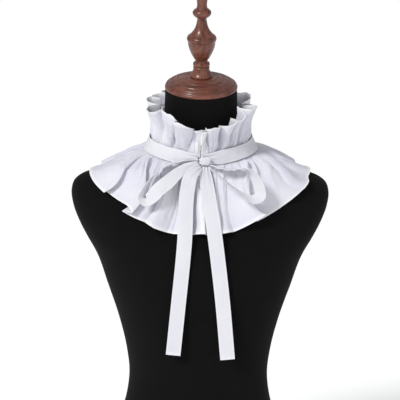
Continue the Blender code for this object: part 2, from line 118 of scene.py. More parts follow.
def smooth_step(x: Array) -> Array:
    """0 below 0, 1 above 1, and a smooth rise between."""
    x = np.clip(x, 0, 1)
    return x * x * (3 - 2 * x)


def outwards(azimuth: Array) -> Array:
    """The level direction away from the neck's axis."""
    angle = np.radians(azimuth)
    return np.stack([np.sin(angle), -np.cos(angle), 0 * angle], axis=-1)


def unit(vectors: Array) -> Array:
    """The vectors made one long."""
    return vectors / np.maximum(np.linalg.norm(vectors, axis=-1, keepdims=True), 1e-12)


def grid_normals(points: Array) -> Array:
    """The direction across a grid of points: its step from column to column crossed with its step by row."""
    return unit(np.cross(np.gradient(points, axis=1), np.gradient(points, axis=0)))


@dataclass(frozen=True)
class Ripples:
    """Soft unevenness of a cloth: a sum of sine waves of seeded slant and phase, each a little bent.

    Sizes are metres. A wave bends by bend radians over bend_length times its own length, and a longer wave is
    higher than a shorter one by the root of their lengths.
    """

    seed: int
    waves: int
    longest: float
    shortest: float
    height: float
    bend: float = 0.35
    bend_length: float = 2.3
    phases: float = 6.0

    def at(self, places: Array) -> Array:
        """The height at each place.

        Args:
            places: x and y of each place, in metres along the cloth.

        Returns:
            The heights, about as far below 0 as above it.
        """
        rng = np.random.default_rng(self.seed)
        total = np.zeros(places.shape[:-1])
        for length in np.geomspace(self.longest, self.shortest, self.waves):
            slant = rng.uniform(0, math.pi)
            x = places[..., 0] * math.cos(slant) + places[..., 1] * math.sin(slant)
            turn = 2 * math.pi * places[..., 1] / (self.bend_length * length) + rng.uniform(0, self.phases)
            wave = 2 * math.pi * x / length + self.bend * np.sin(turn) + rng.uniform(0, self.phases)
            total += np.sin(wave) * math.sqrt(length / self.longest)
        return self.height * total / math.sqrt(self.waves)


@dataclass(frozen=True)
class Around:
    """A size that turns smoothly from its front value through its side value to its back value."""

    front: float
    side: float
    back: float

    def at(self, azimuth: Array) -> Array:
        """The size at each azimuth.

        Args:
            azimuth: degrees round the neck from the front.

        Returns:
            The sizes.
        """
        cosine = np.cos(np.radians(azimuth))
        mean = (self.front + self.back) / 2 - self.side
        return self.side + (self.front - self.back) / 2 * cosine + mean * cosine**2


SEAM_HEIGHT = Around(0.5425, 0.5596, 0.5830)


@dataclass(frozen=True)
class Section:
    """One level section of the form: half width, front and back, where it is widest, and how square it is."""

    height: float
    half_width: float
    front: float
    back: float
    widest: float
    squareness: float


FORM_SECTIONS = [
    Section(0.000, 0.1580, -0.097, 0.112, 0.010, 2.20),
    Section(0.060, 0.1470, -0.096, 0.108, 0.008, 2.20),
    Section(0.120, 0.1270, -0.091, 0.094, 0.004, 2.15),
    Section(0.165, 0.1125, -0.087, 0.083, 0.002, 2.10),
    Section(0.205, 0.1080, -0.086, 0.079, 0.000, 2.10),
    Section(0.242, 0.1124, -0.089, 0.080, 0.000, 2.10),
    Section(0.292, 0.1248, -0.096, 0.087, 0.000, 2.10),
    Section(0.342, 0.1420, -0.101, 0.097, 0.002, 2.15),
    Section(0.392, 0.1604, -0.101, 0.107, 0.004, 2.20),
    Section(0.417, 0.1750, -0.097, 0.110, 0.005, 2.20),
    Section(0.442, 0.1880, -0.090, 0.110, 0.006, 2.20),
    Section(0.467, 0.1972, -0.081, 0.108, 0.008, 2.20),
    Section(0.488, 0.1996, -0.073, 0.104, 0.010, 2.20),
    Section(0.502, 0.1955, -0.068, 0.100, 0.012, 2.20),
    Section(0.511, 0.1850, -0.065, 0.097, 0.012, 2.20),
    Section(0.517, 0.1700, -0.063, 0.095, 0.012, 2.20),
    Section(0.524, 0.1430, -0.060, 0.092, 0.012, 2.15),
    Section(0.531, 0.1170, -0.058, 0.089, 0.012, 2.10),
    Section(0.539, 0.0970, -0.056, 0.085, 0.010, 2.05),
    Section(0.548, 0.0840, -0.055, 0.080, 0.008, 2.00),
    Section(0.560, 0.0735, -0.054, 0.073, 0.005, 2.00),
    Section(0.575, 0.0660, -0.055, 0.066, 0.002, 2.00),
    Section(0.592, 0.0600, -0.059, 0.058, -0.002, 2.00),
    Section(0.612, 0.0567, -0.065, 0.050, -0.008, 2.00),
    Section(0.640, 0.0550, -0.073, 0.041, -0.016, 2.00),
    Section(0.672, 0.0548, -0.082, 0.032, -0.025, 2.00),
]


@dataclass
class FormShape:
    """The form's smooth surface: a superellipse at each height, with a front and a back depth of its own.

    Places on it are found by a few rounds of steps towards it, the seam's from seam_from off the neck's axis.
    """

    sections: Sequence[Section]
    curve_rows: int = 900
    slope_step: float = 0.0008
    seam_from: float = 0.078
    settle_rounds: int = 3
    ring_rounds: int = 6
    curve: Array = field(init=False)

    def __post_init__(self) -> None:
        """Runs one smooth curve through the sizes of all sections."""
        rows = [astuple(section) for section in self.sections]
        self.curve = along(rows, self.curve_rows, measured=4)

    def section_at(self, height: Array) -> list[Array]:
        """Half width, front, back, widest line and squareness at each height."""
        return [np.interp(height, self.curve[:, 0], column) for column in self.curve.T[1:]]

    def level(self, point: Array) -> Array:
        """How far a point lies outside the section at its own height, as a share of that section.

        Args:
            point: the points.

        Returns:
            The shares.
        """
        half_width, front, back, widest, squareness = self.section_at(point[..., 2])
        y = point[..., 1] - widest
        depth = np.where(y < 0, widest - front, back - widest)
        shares = np.abs(point[..., 0] / half_width) ** squareness + np.abs(y / depth) ** squareness
        return shares ** (1 / squareness) - 1

    def off(self, point: Array) -> tuple[Array, Array]:
        """The distance of each point from the form, and the direction straight away from it.

        Args:
            point: the points.

        Returns:
            The distances and the directions.
        """
        steps = self.slope_step * np.eye(3)
        rises = [self.level(point + step) - self.level(point - step) for step in steps]
        slope = np.stack(rises, axis=-1) / (2 * self.slope_step)
        size = np.linalg.norm(slope, axis=-1)
        return self.level(point) / size, slope / size[..., None]

    def settle(self, point: Array, azimuth: Array, clearance: Array) -> Array:
        """Moves each point in its own upright plane until it has the given distance from the form.

        Args:
            point: the points.
            azimuth: the plane of each, in degrees.
            clearance: the distance of each from the form.

        Returns:
            The moved points.
        """
        direction = outwards(azimuth)
        upright = np.array([0.0, 0.0, 1.0])
        for _ in range(self.settle_rounds):
            distance, normal = self.off(point)
            steep = direction * (normal * direction).sum(-1)[..., None] + normal * upright
            point = point + ((clearance - distance) / (steep**2).sum(-1))[..., None] * steep
        return point

    def normals(self, points: Array) -> Array:
        """The directions across a grid of points near the form, turned to lead away from it."""
        across = grid_normals(points)
        return across * np.sign((across * self.off(points)[1]).sum(-1).mean())

    def seam_ring(self, azimuth: Array) -> Array:
        """The line where ruffle and flounce meet, in a plane that drops to the front.

        Args:
            azimuth: where it is read, in degrees.

        Returns:
            Its points.
        """
        point = np.array([0, NECK_AXIS, 0]) + self.seam_from * outwards(azimuth)
        point[..., 2] = SEAM_HEIGHT.at(azimuth)
        for _ in range(self.ring_rounds):
            distance, normal = self.off(point)
            radial = (normal * outwards(azimuth)).sum(-1)
            point = point + ((SEAM_CLEARANCE - distance) / radial)[..., None] * outwards(azimuth)
        return point

    def ring(self, height: float, tilt: float, segments: int) -> Array:
        """One ring of the form, in a plane that drops to the front by the tilt.

        Args:
            height: the ring's height at its middle.
            tilt: degrees.
            segments: how many points it has.

        Returns:
            Its points.
        """
        angle = np.linspace(0, 2 * math.pi, segments, endpoint=False)
        z = np.full(segments, height)
        middle = self.section_at(height)[3]
        for _ in range(self.ring_rounds):
            half_width, front, back, widest, squareness = self.section_at(z)
            side, depth = np.cos(angle), np.sin(angle)
            reach = (np.abs(side) ** squareness + np.abs(depth) ** squareness) ** (-1 / squareness)
            y = widest + reach * depth * np.where(depth < 0, widest - front, back - widest)
            x = reach * side * half_width
            z = height + math.tan(math.radians(tilt)) * (y - middle)
        return np.stack([x, y, z], axis=1)


class Way(Enum):
    """Which way a cloth runs from the seam."""

    DOWN = 1
    UP = -1


@dataclass
class Drape:
    """The form's surface moved out, read by azimuth and by distance from the seam along it.

    It is walked from the seam in steps, each down or up the form and then settled to the clearance there. It
    runs past a full turn at both sides, by overlap degrees, for folds that lean over the front.
    """

    form: FormShape
    clearance: Callable[[Array, float], Array]
    reach: float
    way: Way
    step: float = 0.00125
    azimuths: int = 480
    overlap: float = 15.0
    azimuth: Array = field(init=False)
    rows: Array = field(init=False)

    def __post_init__(self) -> None:
        """Walks the surface row by row."""
        self.azimuth = np.linspace(-self.overlap, 360 + self.overlap, self.azimuths)
        direction = outwards(self.azimuth)
        upright = np.array([0.0, 0.0, 1.0])
        rows = [self.form.seam_ring(self.azimuth)]
        for k in range(1, math.ceil(self.reach / self.step) + 1):
            normal = self.form.off(rows[-1])[1]
            level_part = (normal * direction).sum(-1)
            heading = direction * normal[:, 2:] - level_part[:, None] * upright
            point = rows[-1] + unit(heading) * self.way.value * self.step
            rows.append(self.form.settle(point, self.azimuth, self.clearance(self.azimuth, k * self.step)))
        self.rows = np.array(rows)

    def read(self, azimuth: Array, distance: Array) -> Array:
        """The surface's points at the given azimuths and distances.

        Args:
            azimuth: degrees round the neck.
            distance: metres from the seam along the surface.

        Returns:
            The points.
        """
        a = (azimuth - self.azimuth[0]) / (self.azimuth[1] - self.azimuth[0])
        d = distance / self.step
        i = np.clip(np.floor(a).astype(int), 0, len(self.azimuth) - 2)
        j = np.clip(np.floor(d).astype(int), 0, len(self.rows) - 2)
        a, d = (a - i)[..., None], (d - j)[..., None]
        near = self.rows[j, i] * (1 - a) + self.rows[j, i + 1] * a
        far = self.rows[j + 1, i] * (1 - a) + self.rows[j + 1, i + 1] * a
        return near * (1 - d) + far * d


@dataclass(frozen=True)
class Fold:
    """One fold of a cloth: its width round the neck and its lean in degrees, and its height.

    The next two say how much longer than the rest the cloth is in the valley before it, and on its crest.
    Its slant says how far round that valley starts at the seam, in degrees, from where it would run straight.
    A skew above 1 moves its crest towards its end, and one below 1 towards its start.
    """

    width: float
    height: float
    lean: float
    valley: float = 0.0
    crest: float = 0.0
    slant: float = 0.0
    skew: float = 1.0


@dataclass(frozen=True)
class Crease:
    """A soft ridge (or trough, when its depth is negative) from one place of a cloth to another.

    Places are an azimuth in degrees and a share of the way from the seam to the edge. The fade at each end,
    and the stretch that it runs past its end, are shares of its own length.
    """

    azimuth_from: float
    share_from: float
    azimuth_to: float
    share_to: float
    depth: float
    width: float
    fade: float = 0.3
    runs_past: float = 0.12

    def lift(self, azimuth: Array, share: Array) -> Array:
        """How far the crease raises each place: a bell across it, fading at both ends.

        Args:
            azimuth: the places' azimuths.
            share: their shares of the way to the edge.

        Returns:
            The heights.
        """
        along_it = (share - self.share_from) / (self.share_to - self.share_from)
        middle = self.azimuth_from + (self.azimuth_to - self.azimuth_from) * along_it
        away = (azimuth - middle) / self.width
        start, end = along_it / self.fade, (1 + self.runs_past - along_it) / self.fade
        return self.depth * smooth_step(start) * smooth_step(end) * np.exp(-(away**2))


@dataclass(frozen=True)
class Swing:
    """A sine wave round the neck: its size, how many of it go round, and its phase in degrees."""

    size: float
    waves: float
    phase: float = 0.0

    def at(self, azimuth: Array) -> Array:
        """The wave's height at each azimuth."""
        return self.size * np.sin(np.radians(self.waves * azimuth + self.phase))


@dataclass(frozen=True)
class Cloth:
    """A strip of cloth gathered to the seam: its folds and creases, and how they grow towards its free edge.

    Widths round the neck are degrees, distances metres, and the growths are powers of the share of the way to
    the edge. The middle says where between valley and crest the drape passes. The gathers wander round the
    neck by their swings, in degrees, and are deeper in some patches than in others.
    """

    folds: tuple[Fold, ...]
    start: float
    length: Around
    middle: float
    growth: float
    spreads_from: float
    gather_depth: float
    gather_peak: float
    creases: tuple[Crease, ...] = ()
    lean_growth: float = 1.5
    bulb: float = 0.0
    bow: float = 0.0
    lies_on_form: bool = True
    least_lift: float = 0.12
    crest_power: int = 3
    spread_by: float = 0.9
    pressed_to: float = 0.004
    press_fades: float = 0.018
    creases_from: float = 0.006
    creases_fade: float = 0.010
    seam_opening: float = 0.35
    lap_lift: float = 0.0015
    gathers: int = 44
    gather_swings: tuple[Swing, ...] = (Swing(1.6, 7), Swing(0.9, 17, 40))
    gather_patches: Swing = Swing(0.25, 11, 70)
    narrow_gathers: float = 2.3
    narrow_size: float = 0.22
    narrow_turn: float = 120.0

    def columns(self, counts: Sequence[int]) -> tuple[Array, Array]:
        """Each column's row in the table of folds, and its phase there. The last fold ends on its crest.

        Args:
            counts: columns in each fold.

        Returns:
            The rows and the phases.
        """
        row = np.repeat(np.arange(len(counts)), counts)
        within = np.concatenate([np.arange(count) for count in counts])
        phase = within / np.repeat(counts, counts)
        row, phase = np.r_[row, len(counts) - 1], np.r_[phase, 1.0]
        return row, np.where(row == len(counts) - 1, phase / 2, phase)

    def gather(self, azimuth: Array, share: Array) -> Array:
        """Small radial gathers: none in the seam itself, deepest just past it, fading towards the edge.

        Args:
            azimuth: the places' azimuths.
            share: their shares of the way to the edge.

        Returns:
            The heights of the gathers.
        """
        swell = share / self.gather_peak * np.exp(1 - share / self.gather_peak)
        uneven = azimuth + sum(swing.at(azimuth) for swing in self.gather_swings)
        wide = (1 - np.cos(np.radians(self.gathers * uneven))) / 2
        narrow = np.sin(np.radians(self.narrow_gathers * self.gathers * uneven + self.narrow_turn * share))
        patches = 1 - self.gather_patches.size + self.gather_patches.at(azimuth)
        return self.gather_depth * swell * patches * (wide + self.narrow_size * narrow)

    def points(self, drape: Drape, counts: Sequence[int], shares: Array) -> tuple[Array, ...]:
        """The cloth's inner face.

        Each column keeps its place in its fold, and fans out from an even place in the seam to its own at the
        edge. There it leans with its crest, swells out of its fold's foot, and bows about the shoulder. The
        folds, gathers and creases then stand on the drape.

        Args:
            drape: the surface that the folds stand on.
            counts: columns in each fold.
            shares: the rows, as shares of the way from the seam to the edge.

        Returns:
            The grid of points, and the azimuth, share and distance of each.
        """
        row, phase = self.columns(counts)
        sizes = np.array([astuple(fold) for fold in self.folds])
        width, height, lean, _, _, _, skew = sizes[row].T
        last = row == len(sizes) - 1
        whole = row + np.where(last, 2 * phase, phase)
        valleys = np.r_[0, np.cumsum(sizes[:, 0])]
        edge_azimuth = self.start + np.interp(whole, np.arange(len(valleys)), valleys)
        at_seam = valleys / valleys[-1] * (360 - 2 * self.seam_opening) + np.r_[sizes[:, 5], 0]
        seam_azimuth = self.seam_opening + np.interp(whole, np.arange(len(valleys)), at_seam)
        crest = 1 - np.abs(np.cos(math.pi * phase**skew)) ** self.crest_power
        share = shares[:, None]
        spread = smooth_step((share - self.spreads_from) / (self.spread_by - self.spreads_from))
        azimuth = seam_azimuth + (edge_azimuth - seam_azimuth) * spread
        swell = -self.bulb * width * np.sin(2 * math.pi * phase)
        plain = azimuth + (lean * crest + swell) * share**self.lean_growth
        azimuth = plain - self.bow * np.sin(np.radians(plain)) * 4 * share * (1 - share)
        hem = np.interp(whole, np.arange(2 * len(sizes)) / 2, sizes[:, 3:5].ravel())
        reach = self.length.at(azimuth) + hem * share**2
        distance = np.maximum(share * reach, SEAM_ALLOWANCE)
        free = smooth_step((distance - self.pressed_to) / self.press_fades)
        lap = self.lap_lift * crest * last
        swing = height * (crest - self.middle) * share**self.growth
        creased = sum(crease.lift(plain, share) for crease in self.creases)
        lift = free * (swing + self.gather(plain, share) + lap)
        lift = lift + smooth_step((distance - self.creases_from) / self.creases_fade) * creased
        if self.lies_on_form:
            lift = np.maximum(lift, self.least_lift * height * free)
        point = drape.read(azimuth, distance)
        point = point + lift[..., None] * drape.form.off(point)[1]
        return point, azimuth, share + 0 * azimuth, distance


FLOUNCE = Cloth(
    folds=(
        Fold(14.0, 0.0025, 0.0, -0.001, 0.000),
        Fold(21.0, 0.0105, 2.0, 0.002, 0.004),
        Fold(16.0, 0.0165, 11.0, 0.004, 0.001, 4.0),
        Fold(25.0, 0.0075, 4.5, 0.003, 0.004, 12.0, 4.0),
        Fold(9.0, 0.0100, 0.0, 0.003, 0.003, 0.0, 0.6),
        Fold(26.0, 0.0065, -4.0, 0.000, 0.001, 12.0),
        Fold(25.0, 0.0160, -3.0, -0.002, 0.000, 2.0),
        Fold(21.0, 0.0150, 5.0, -0.002, 0.001),
        Fold(24.0, 0.0187, 0.0, -0.003, 0.000),
        Fold(22.0, 0.0150, -5.0, -0.002, 0.002),
        Fold(23.0, 0.0175, 2.0, -0.003, 0.000),
        Fold(22.0, 0.0150, -4.0, -0.002, 0.001),
        Fold(15.0, 0.0090, 2.0, -0.002, -0.001),
        Fold(28.0, 0.0160, 11.5, 0.000, 0.001, 0.0, 2.6),
        Fold(16.0, 0.0195, 12.0, 0.001, -0.004, 5.0, 1.5),
        Fold(16.0, 0.0060, 0.0, 0.008, 0.006),
        Fold(18.0, 0.0190, -3.5, 0.003, 0.007, 0.0, 0.55),
        Fold(14.0, 0.0110, 0.0, 0.005, 0.005, 2.0),
        Fold(15.0, 0.0095, 0.0, 0.002, 0.001),
    ),
    creases=(
        Crease(283.5, 0.04, 287.0, 0.60, -0.0050, 1.4),
        Crease(290.0, 0.02, 297.0, 0.50, -0.0030, 1.3),
        Crease(296.0, 0.02, 301.0, 0.40, -0.0040, 1.0),
        Crease(69.5, 0.04, 66.5, 0.80, 0.0030, 1.0),
        Crease(66.5, 0.02, 61.0, 0.60, -0.0065, 1.2),
        Crease(60.0, 0.02, 53.0, 0.50, -0.0050, 1.1),
        Crease(63.6, 0.03, 57.5, 0.60, 0.0042, 1.5),
        Crease(57.0, 0.03, 49.5, 0.45, 0.0036, 1.3),
        Crease(73.0, 0.03, 70.0, 0.50, 0.0034, 1.5),
        Crease(78.0, 0.02, 74.0, 0.30, -0.0030, 1.0),
        Crease(25.0, 0.20, 21.0, 0.90, -0.0040, 3.0),
        Crease(33.0, 0.05, 29.0, 0.50, -0.0030, 1.2),
        Crease(270.0, 0.05, 276.0, 0.60, 0.0020, 2.5),
    ),
    start=-5.0,
    length=Around(0.115, 0.095, 0.108),
    middle=0.0,
    growth=0.65,
    spreads_from=0.0,
    gather_depth=0.0040,
    gather_peak=0.22,
    lean_growth=0.68,
    bow=9.0,
)

RUFFLE = Cloth(
    folds=(
        Fold(10.0, 0.0040, 0.0, -0.002, 0.002),
        Fold(16.0, 0.0210, -2.0, 0.000, 0.008),
        Fold(14.0, 0.0210, 2.0, 0.000, 0.006),
        Fold(12.0, 0.0190, -1.0, 0.006, 0.004),
        Fold(22.0, 0.0230, 3.0, 0.017, 0.007),
        Fold(20.0, 0.0200, -5.0, 0.004, -0.001),
        Fold(19.0, 0.0200, 4.0, -0.003, 0.002),
        Fold(20.0, 0.0190, -3.0, 0.003, -0.003),
        Fold(19.0, 0.0195, 4.0, -0.003, 0.001),
        Fold(21.0, 0.0200, -3.0, 0.003, -0.001),
        Fold(20.0, 0.0190, 3.0, -0.002, 0.002),
        Fold(19.0, 0.0190, -4.0, 0.003, -0.002),
        Fold(20.0, 0.0195, 4.0, -0.004, -0.001),
        Fold(20.0, 0.0190, -3.0, -0.002, -0.002),
        Fold(19.0, 0.0200, 3.0, 0.003, -0.002),
        Fold(20.0, 0.0200, -4.0, 0.002, 0.003),
        Fold(24.0, 0.0225, 4.0, 0.004, 0.003),
        Fold(18.0, 0.0210, 14.0, 0.016, 0.022),
        Fold(23.0, 0.0200, 0.0, 0.002, 0.013),
        Fold(14.0, 0.0100, 0.0, -0.004, 0.000),
    ),
    start=-4.0,
    length=Around(0.047, 0.068, 0.060),
    middle=0.5,
    growth=1.0,
    spreads_from=0.22,
    lies_on_form=False,
    gather_depth=0.0042,
    gather_peak=0.32,
    bulb=0.17,
)


@dataclass(frozen=True)
class Stitch:
    """One stitch of a sewn hem: how far apart they lie, its length, half its thickness and its rise."""

    pitch: float = 0.0030
    length: float = 0.0021
    half: float = 0.00020
    rise: float = 0.00010


class Surface:
    """Makes finished meshes from grids of points: faces outward, with their places on the cloth as UVs."""

    @staticmethod
    def build(
        name: str, points: Array, faces: Sequence[Array], places: Array | None = None
    ) -> bpy.types.Object:
        """A mesh object.

        Args:
            name: the piece's name.
            points: its points.
            faces: groups of faces, each a table with one row of point numbers per face.
            places: for each point, where it lies on the flat cloth, in metres.

        Returns:
            The object, shaded smooth.
        """
        around = np.concatenate([group.ravel() for group in faces]).astype(np.int32)
        sizes = np.concatenate([np.full(len(group), group.shape[1]) for group in faces])
        mesh = bpy.data.meshes.new(name)
        mesh.vertices.add(len(points))
        mesh.vertices.foreach_set("co", np.ascontiguousarray(points, np.float32).ravel())
        mesh.loops.add(len(around))
        mesh.loops.foreach_set("vertex_index", around)
        mesh.polygons.add(len(sizes))
        mesh.polygons.foreach_set("loop_start", np.r_[0, np.cumsum(sizes)[:-1]].astype(np.int32))
        mesh.update(calc_edges=True)
        mesh.shade_smooth()
        if places is not None:
            layer = mesh.uv_layers.new(name="cloth")
            layer.data.foreach_set("uv", np.ascontiguousarray(places[around], np.float32).ravel())
        made = bpy.data.objects.new(name, mesh)
        bpy.context.scene.collection.objects.link(made)
        return made

    @staticmethod
    def sharpen(made: bpy.types.Object, rims: Sequence[Array]) -> None:
        """Keeps the shading of a mesh crisp along its rims.

        Args:
            made: the object.
            rims: the point numbers of each rim.
        """
        rim = np.zeros(len(made.data.vertices), np.int32)
        for number, points in enumerate(rims, start=1):
            rim[points] = number
        ends = np.empty(len(made.data.edges) * 2, np.int32)
        made.data.edges.foreach_get("vertices", ends)
        first, second = rim[ends.reshape(-1, 2)].T
        sharp = made.data.attributes.new("sharp_edge", "BOOLEAN", "EDGE")
        sharp.data.foreach_set("value", (first == second) & (first > 0))

    @staticmethod
    def shell(name: str, inner: Array, outer: Array, places: Array, doubled: Array) -> bpy.types.Object:
        """A closed cloth wall between two grids of points.

        Args:
            name: the piece's name.
            inner: the grid of its inner face.
            outer: the grid of its outer face.
            places: where each point of the grid lies on the flat cloth, in metres.
            doubled: how far each point belongs to a turned edge, where the cloth lies double: 0 to 1, lower
                along a hem's stitch line as painted shade.

        Returns:
            The object.
        """
        rows, columns = inner.shape[:2]
        shift = rows * columns
        index = np.arange(shift).reshape(rows, columns)
        quads = np.stack([index[:-1, :-1], index[:-1, 1:], index[1:, 1:], index[1:, :-1]], axis=-1)
        quads = quads.reshape(-1, 4)
        rim = np.concatenate([index[0, :-1], index[:-1, -1], index[-1, :0:-1], index[:0:-1, 0]])
        after = np.roll(rim, -1)
        sides = np.stack([rim, after, after + shift, rim + shift], axis=-1)
        faces = np.concatenate([quads[:, ::-1], quads + shift, sides])
        points = np.concatenate([inner.reshape(-1, 3), outer.reshape(-1, 3)])
        centre = rows // 2, columns // 2
        if (outer - inner)[centre] @ grid_normals(inner)[centre] < 0:
            faces = faces[:, ::-1]
        made = Surface.build(name, points, [faces], np.tile(places.reshape(-1, 2), (2, 1)))
        # The doubled mask also carries the painted shade of a hem's stitch line.
        mask = made.data.attributes.new("doubled", "FLOAT", "POINT")
        mask.data.foreach_set("value", np.tile(doubled.ravel(), 2).astype(np.float32))
        Surface.sharpen(made, [rim, rim + shift])
        return made

    @staticmethod
    def skin(name: str, rings: Array, crisp: bool) -> bpy.types.Object:
        """A closed solid over rings of points, each end closed by a fan about its middle.

        Args:
            name: the piece's name.
            rings: one row of points for each ring.
            crisp: whether its ends meet its side at crisp edges.

        Returns:
            The object.
        """
        count, segments = rings.shape[:2]
        index = np.arange(count * segments).reshape(count, segments)
        turned = np.roll(index, -1, axis=1)
        sides = np.stack([index[:-1], turned[:-1], turned[1:], index[1:]], axis=-1).reshape(-1, 4)
        bottom = np.stack([turned[0], index[0], np.full(segments, count * segments)], axis=-1)
        top = np.stack([index[-1], turned[-1], np.full(segments, count * segments + 1)], axis=-1)
        middles = np.stack([rings[0].mean(axis=0), rings[-1].mean(axis=0)])
        made = Surface.build(name, np.concatenate([rings.reshape(-1, 3), middles]), [sides, bottom, top])
        if crisp:
            Surface.sharpen(made, [index[0], index[-1]])
        return made

    @staticmethod
    def stitches(name: str, line: Array, normal: Array, stitch: Stitch) -> bpy.types.Object:
        """A row of stitches on a cloth: each a small spindle of six points and eight faces.

        Args:
            name: the piece's name.
            line: points along the row.
            normal: the cloth's outward direction at each of them.
            stitch: the size of a stitch.

        Returns:
            The object.
        """
        run = np.r_[0, np.cumsum(np.linalg.norm(np.diff(line, axis=0), axis=1))]
        starts = np.arange(stitch.pitch, run[-1] - stitch.pitch, stitch.pitch)
        rows = np.concatenate([line, normal], axis=1)
        near, mid, far = (
            np.stack([np.interp(starts + step, run, column) for column in rows.T], axis=-1)
            for step in (0, stitch.length / 2, stitch.length)
        )
        heading = unit(far[:, :3] - near[:, :3])
        out = unit(mid[:, 3:])
        side = unit(np.cross(heading, out))
        middle = mid[:, :3] + stitch.rise * out
        round_it = [middle + stitch.half * way for way in (side, out, -side, -out)]
        points = np.stack([near[:, :3], *round_it, far[:, :3]], axis=1).reshape(-1, 3)
        near_faces = [[0, 1, 2], [0, 2, 3], [0, 3, 4], [0, 4, 1]]
        far_faces = [[5, 2, 1], [5, 3, 2], [5, 4, 3], [5, 1, 4]]
        first = len(round_it) + 2
        faces = np.array(near_faces + far_faces) + first * np.arange(len(starts))[:, None, None]
        return Surface.build(name, points, [faces.reshape(-1, 3)])


def dress(made: bpy.types.Object, material: bpy.types.Material, slot: str, *nodes: str) -> bpy.types.Object:
    """Gives a piece its material and its body, and hides the CAD nodes that it stands for.

    Args:
        made: the piece.
        material: its material.
        slot: the record's material slot for its finish; not used.
        nodes: the CAD nodes that it stands for.

    Returns:
        The piece.
    """
    made.data.materials.append(material)
    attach(made, "root")
    if nodes:
        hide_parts(*nodes)
    return made


class Nodes:
    """A tree of shader nodes, added by kind and joined by name."""

    def __init__(self, tree: bpy.types.NodeTree) -> None:
        """Works on the given tree."""
        self.tree = tree

    def fill(self, node: bpy.types.Node, values: dict[str, object]) -> bpy.types.Node:
        """Sets or joins a node's inputs.

        Args:
            node: the node.
            values: for each input's name, its value, or the socket that feeds it.

        Returns:
            The node.
        """
        for key, value in values.items():
            into = node.inputs[key.replace("_", " ")]
            if isinstance(value, bpy.types.NodeSocket):
                self.tree.links.new(value, into)
            else:
                into.default_value = value
        return node

    def node(self, kind: str, **settings: object) -> bpy.types.Node:
        """Adds a node.

        Args:
            kind: the node's type.
            settings: its properties by name, and its inputs' values, or the sockets that feed them.

        Returns:
            The node.
        """
        made = self.tree.nodes.new(kind)
        own = {key: value for key, value in settings.items() if key in made.bl_rna.properties}
        for key, value in own.items():
            setattr(made, key, value)
        return self.fill(made, {key: value for key, value in settings.items() if key not in own})

    def ramp(self, value: bpy.types.NodeSocket, stops: Sequence[Stop]) -> bpy.types.NodeSocket:
        """Adds a colour ramp.

        Args:
            value: what it reads.
            stops: its places and their colours, rising.

        Returns:
            The colour that comes out.
        """
        made = self.node("ShaderNodeValToRGB", Fac=value)
        elements = made.color_ramp.elements
        first, *between, last = stops
        for element, (place, colour) in ((elements[0], first), (elements[1], last)):
            element.position = place
            element.color = (*colour, 1)
        for place, colour in between:
            elements.new(place).color = (*colour, 1)
        return made.outputs["Color"]


class Effect(Nodes):
    """A node group that several materials share, with named inputs and outputs."""

    def __init__(self, name: str, inputs: dict[str, str], outputs: dict[str, str]) -> None:
        """Makes the group and its sockets.

        Args:
            name: the group's name.
            inputs: the kind of each input, by name.
            outputs: the kind of each output, by name.
        """
        super().__init__(bpy.data.node_groups.new(name, "ShaderNodeTree"))
        for direction, sockets in (("INPUT", inputs), ("OUTPUT", outputs)):
            for label, kind in sockets.items():
                self.tree.interface.new_socket(label, in_out=direction, socket_type="NodeSocket" + kind)
        self.inputs = self.node("NodeGroupInput").outputs
        self.out = self.node("NodeGroupOutput")

    def give(self, **values: bpy.types.NodeSocket) -> None:
        """Joins the group's outputs, by name, to what they put out."""
        self.fill(self.out, values)


class Shader(Nodes):
    """One material's nodes."""

    def __init__(self, name: str) -> None:
        """Makes a material with its shader.

        Args:
            name: the material's name.
        """
        self.material = bpy.data.materials.new(name)
        self.material.use_nodes = True
        super().__init__(self.material.node_tree)

    def place(self) -> bpy.types.NodeSocket:
        """Where each point lies, in the object's own metres."""
        return self.node("ShaderNodeTexCoord").outputs["Object"]

    def set(self, **values: object) -> bpy.types.Material:
        """Sets the shader's uniform values, joins what changes over the surface, and gives the material."""
        self.fill(self.tree.nodes["Principled BSDF"], values)
        return self.material

    def effect(self, effect: Effect, **values: object) -> bpy.types.NodeOutputs:
        """Adds a shared effect.

        Args:
            effect: the effect.
            values: the values of its named inputs, or the sockets that feed them.

        Returns:
            What its node puts out.
        """
        made = self.tree.nodes.new("ShaderNodeGroup")
        made.node_tree = effect.tree
        return self.fill(made, values).outputs


@dataclass(frozen=True)
class ClothFinish:
    """A woven cloth: its light, shaded and doubled colours, its surface, its threads and its crumples.

    A thread is a width in metres, and a crumple says how many of them there are to a metre. The wave to a
    thread turns a width into the scale of the bands that draw it.
    """

    name: str
    light: Colour
    dim: Colour
    doubled: Colour
    roughness: float
    sheen: float
    thread: float
    thread_bump: float
    crumple: float
    crumple_bump: float
    sheen_roughness: float = 0.5
    specular: float = 0.25
    wave_to_thread: float = 0.314

    def material(self, weave: Effect) -> bpy.types.Material:
        """Makes the cloth's material, with threads from its own coordinates and crumples from the object's.

        Args:
            weave: the effect of its threads and crumples.

        Returns:
            The material.
        """
        shader = Shader(self.name)
        woven = shader.effect(
            weave,
            Place=shader.place(),
            Cloth=shader.node("ShaderNodeUVMap", uv_map="cloth").outputs["UV"],
            Doubled=shader.node("ShaderNodeAttribute", attribute_name="doubled").outputs["Fac"],
            Light=(*self.light, 1),
            Dim=(*self.dim, 1),
            Doubled_Colour=(*self.doubled, 1),
            Threads=self.wave_to_thread / self.thread,
            Thread_Bump=self.thread_bump,
            Crumples=self.crumple,
            Crumple_Bump=self.crumple_bump,
        )
        return shader.set(
            Base_Color=woven["Colour"],
            Roughness=self.roughness,
            Sheen_Weight=self.sheen,
            Sheen_Roughness=self.sheen_roughness,
            Specular_IOR_Level=self.specular,
            Normal=woven["Normal"],
        )


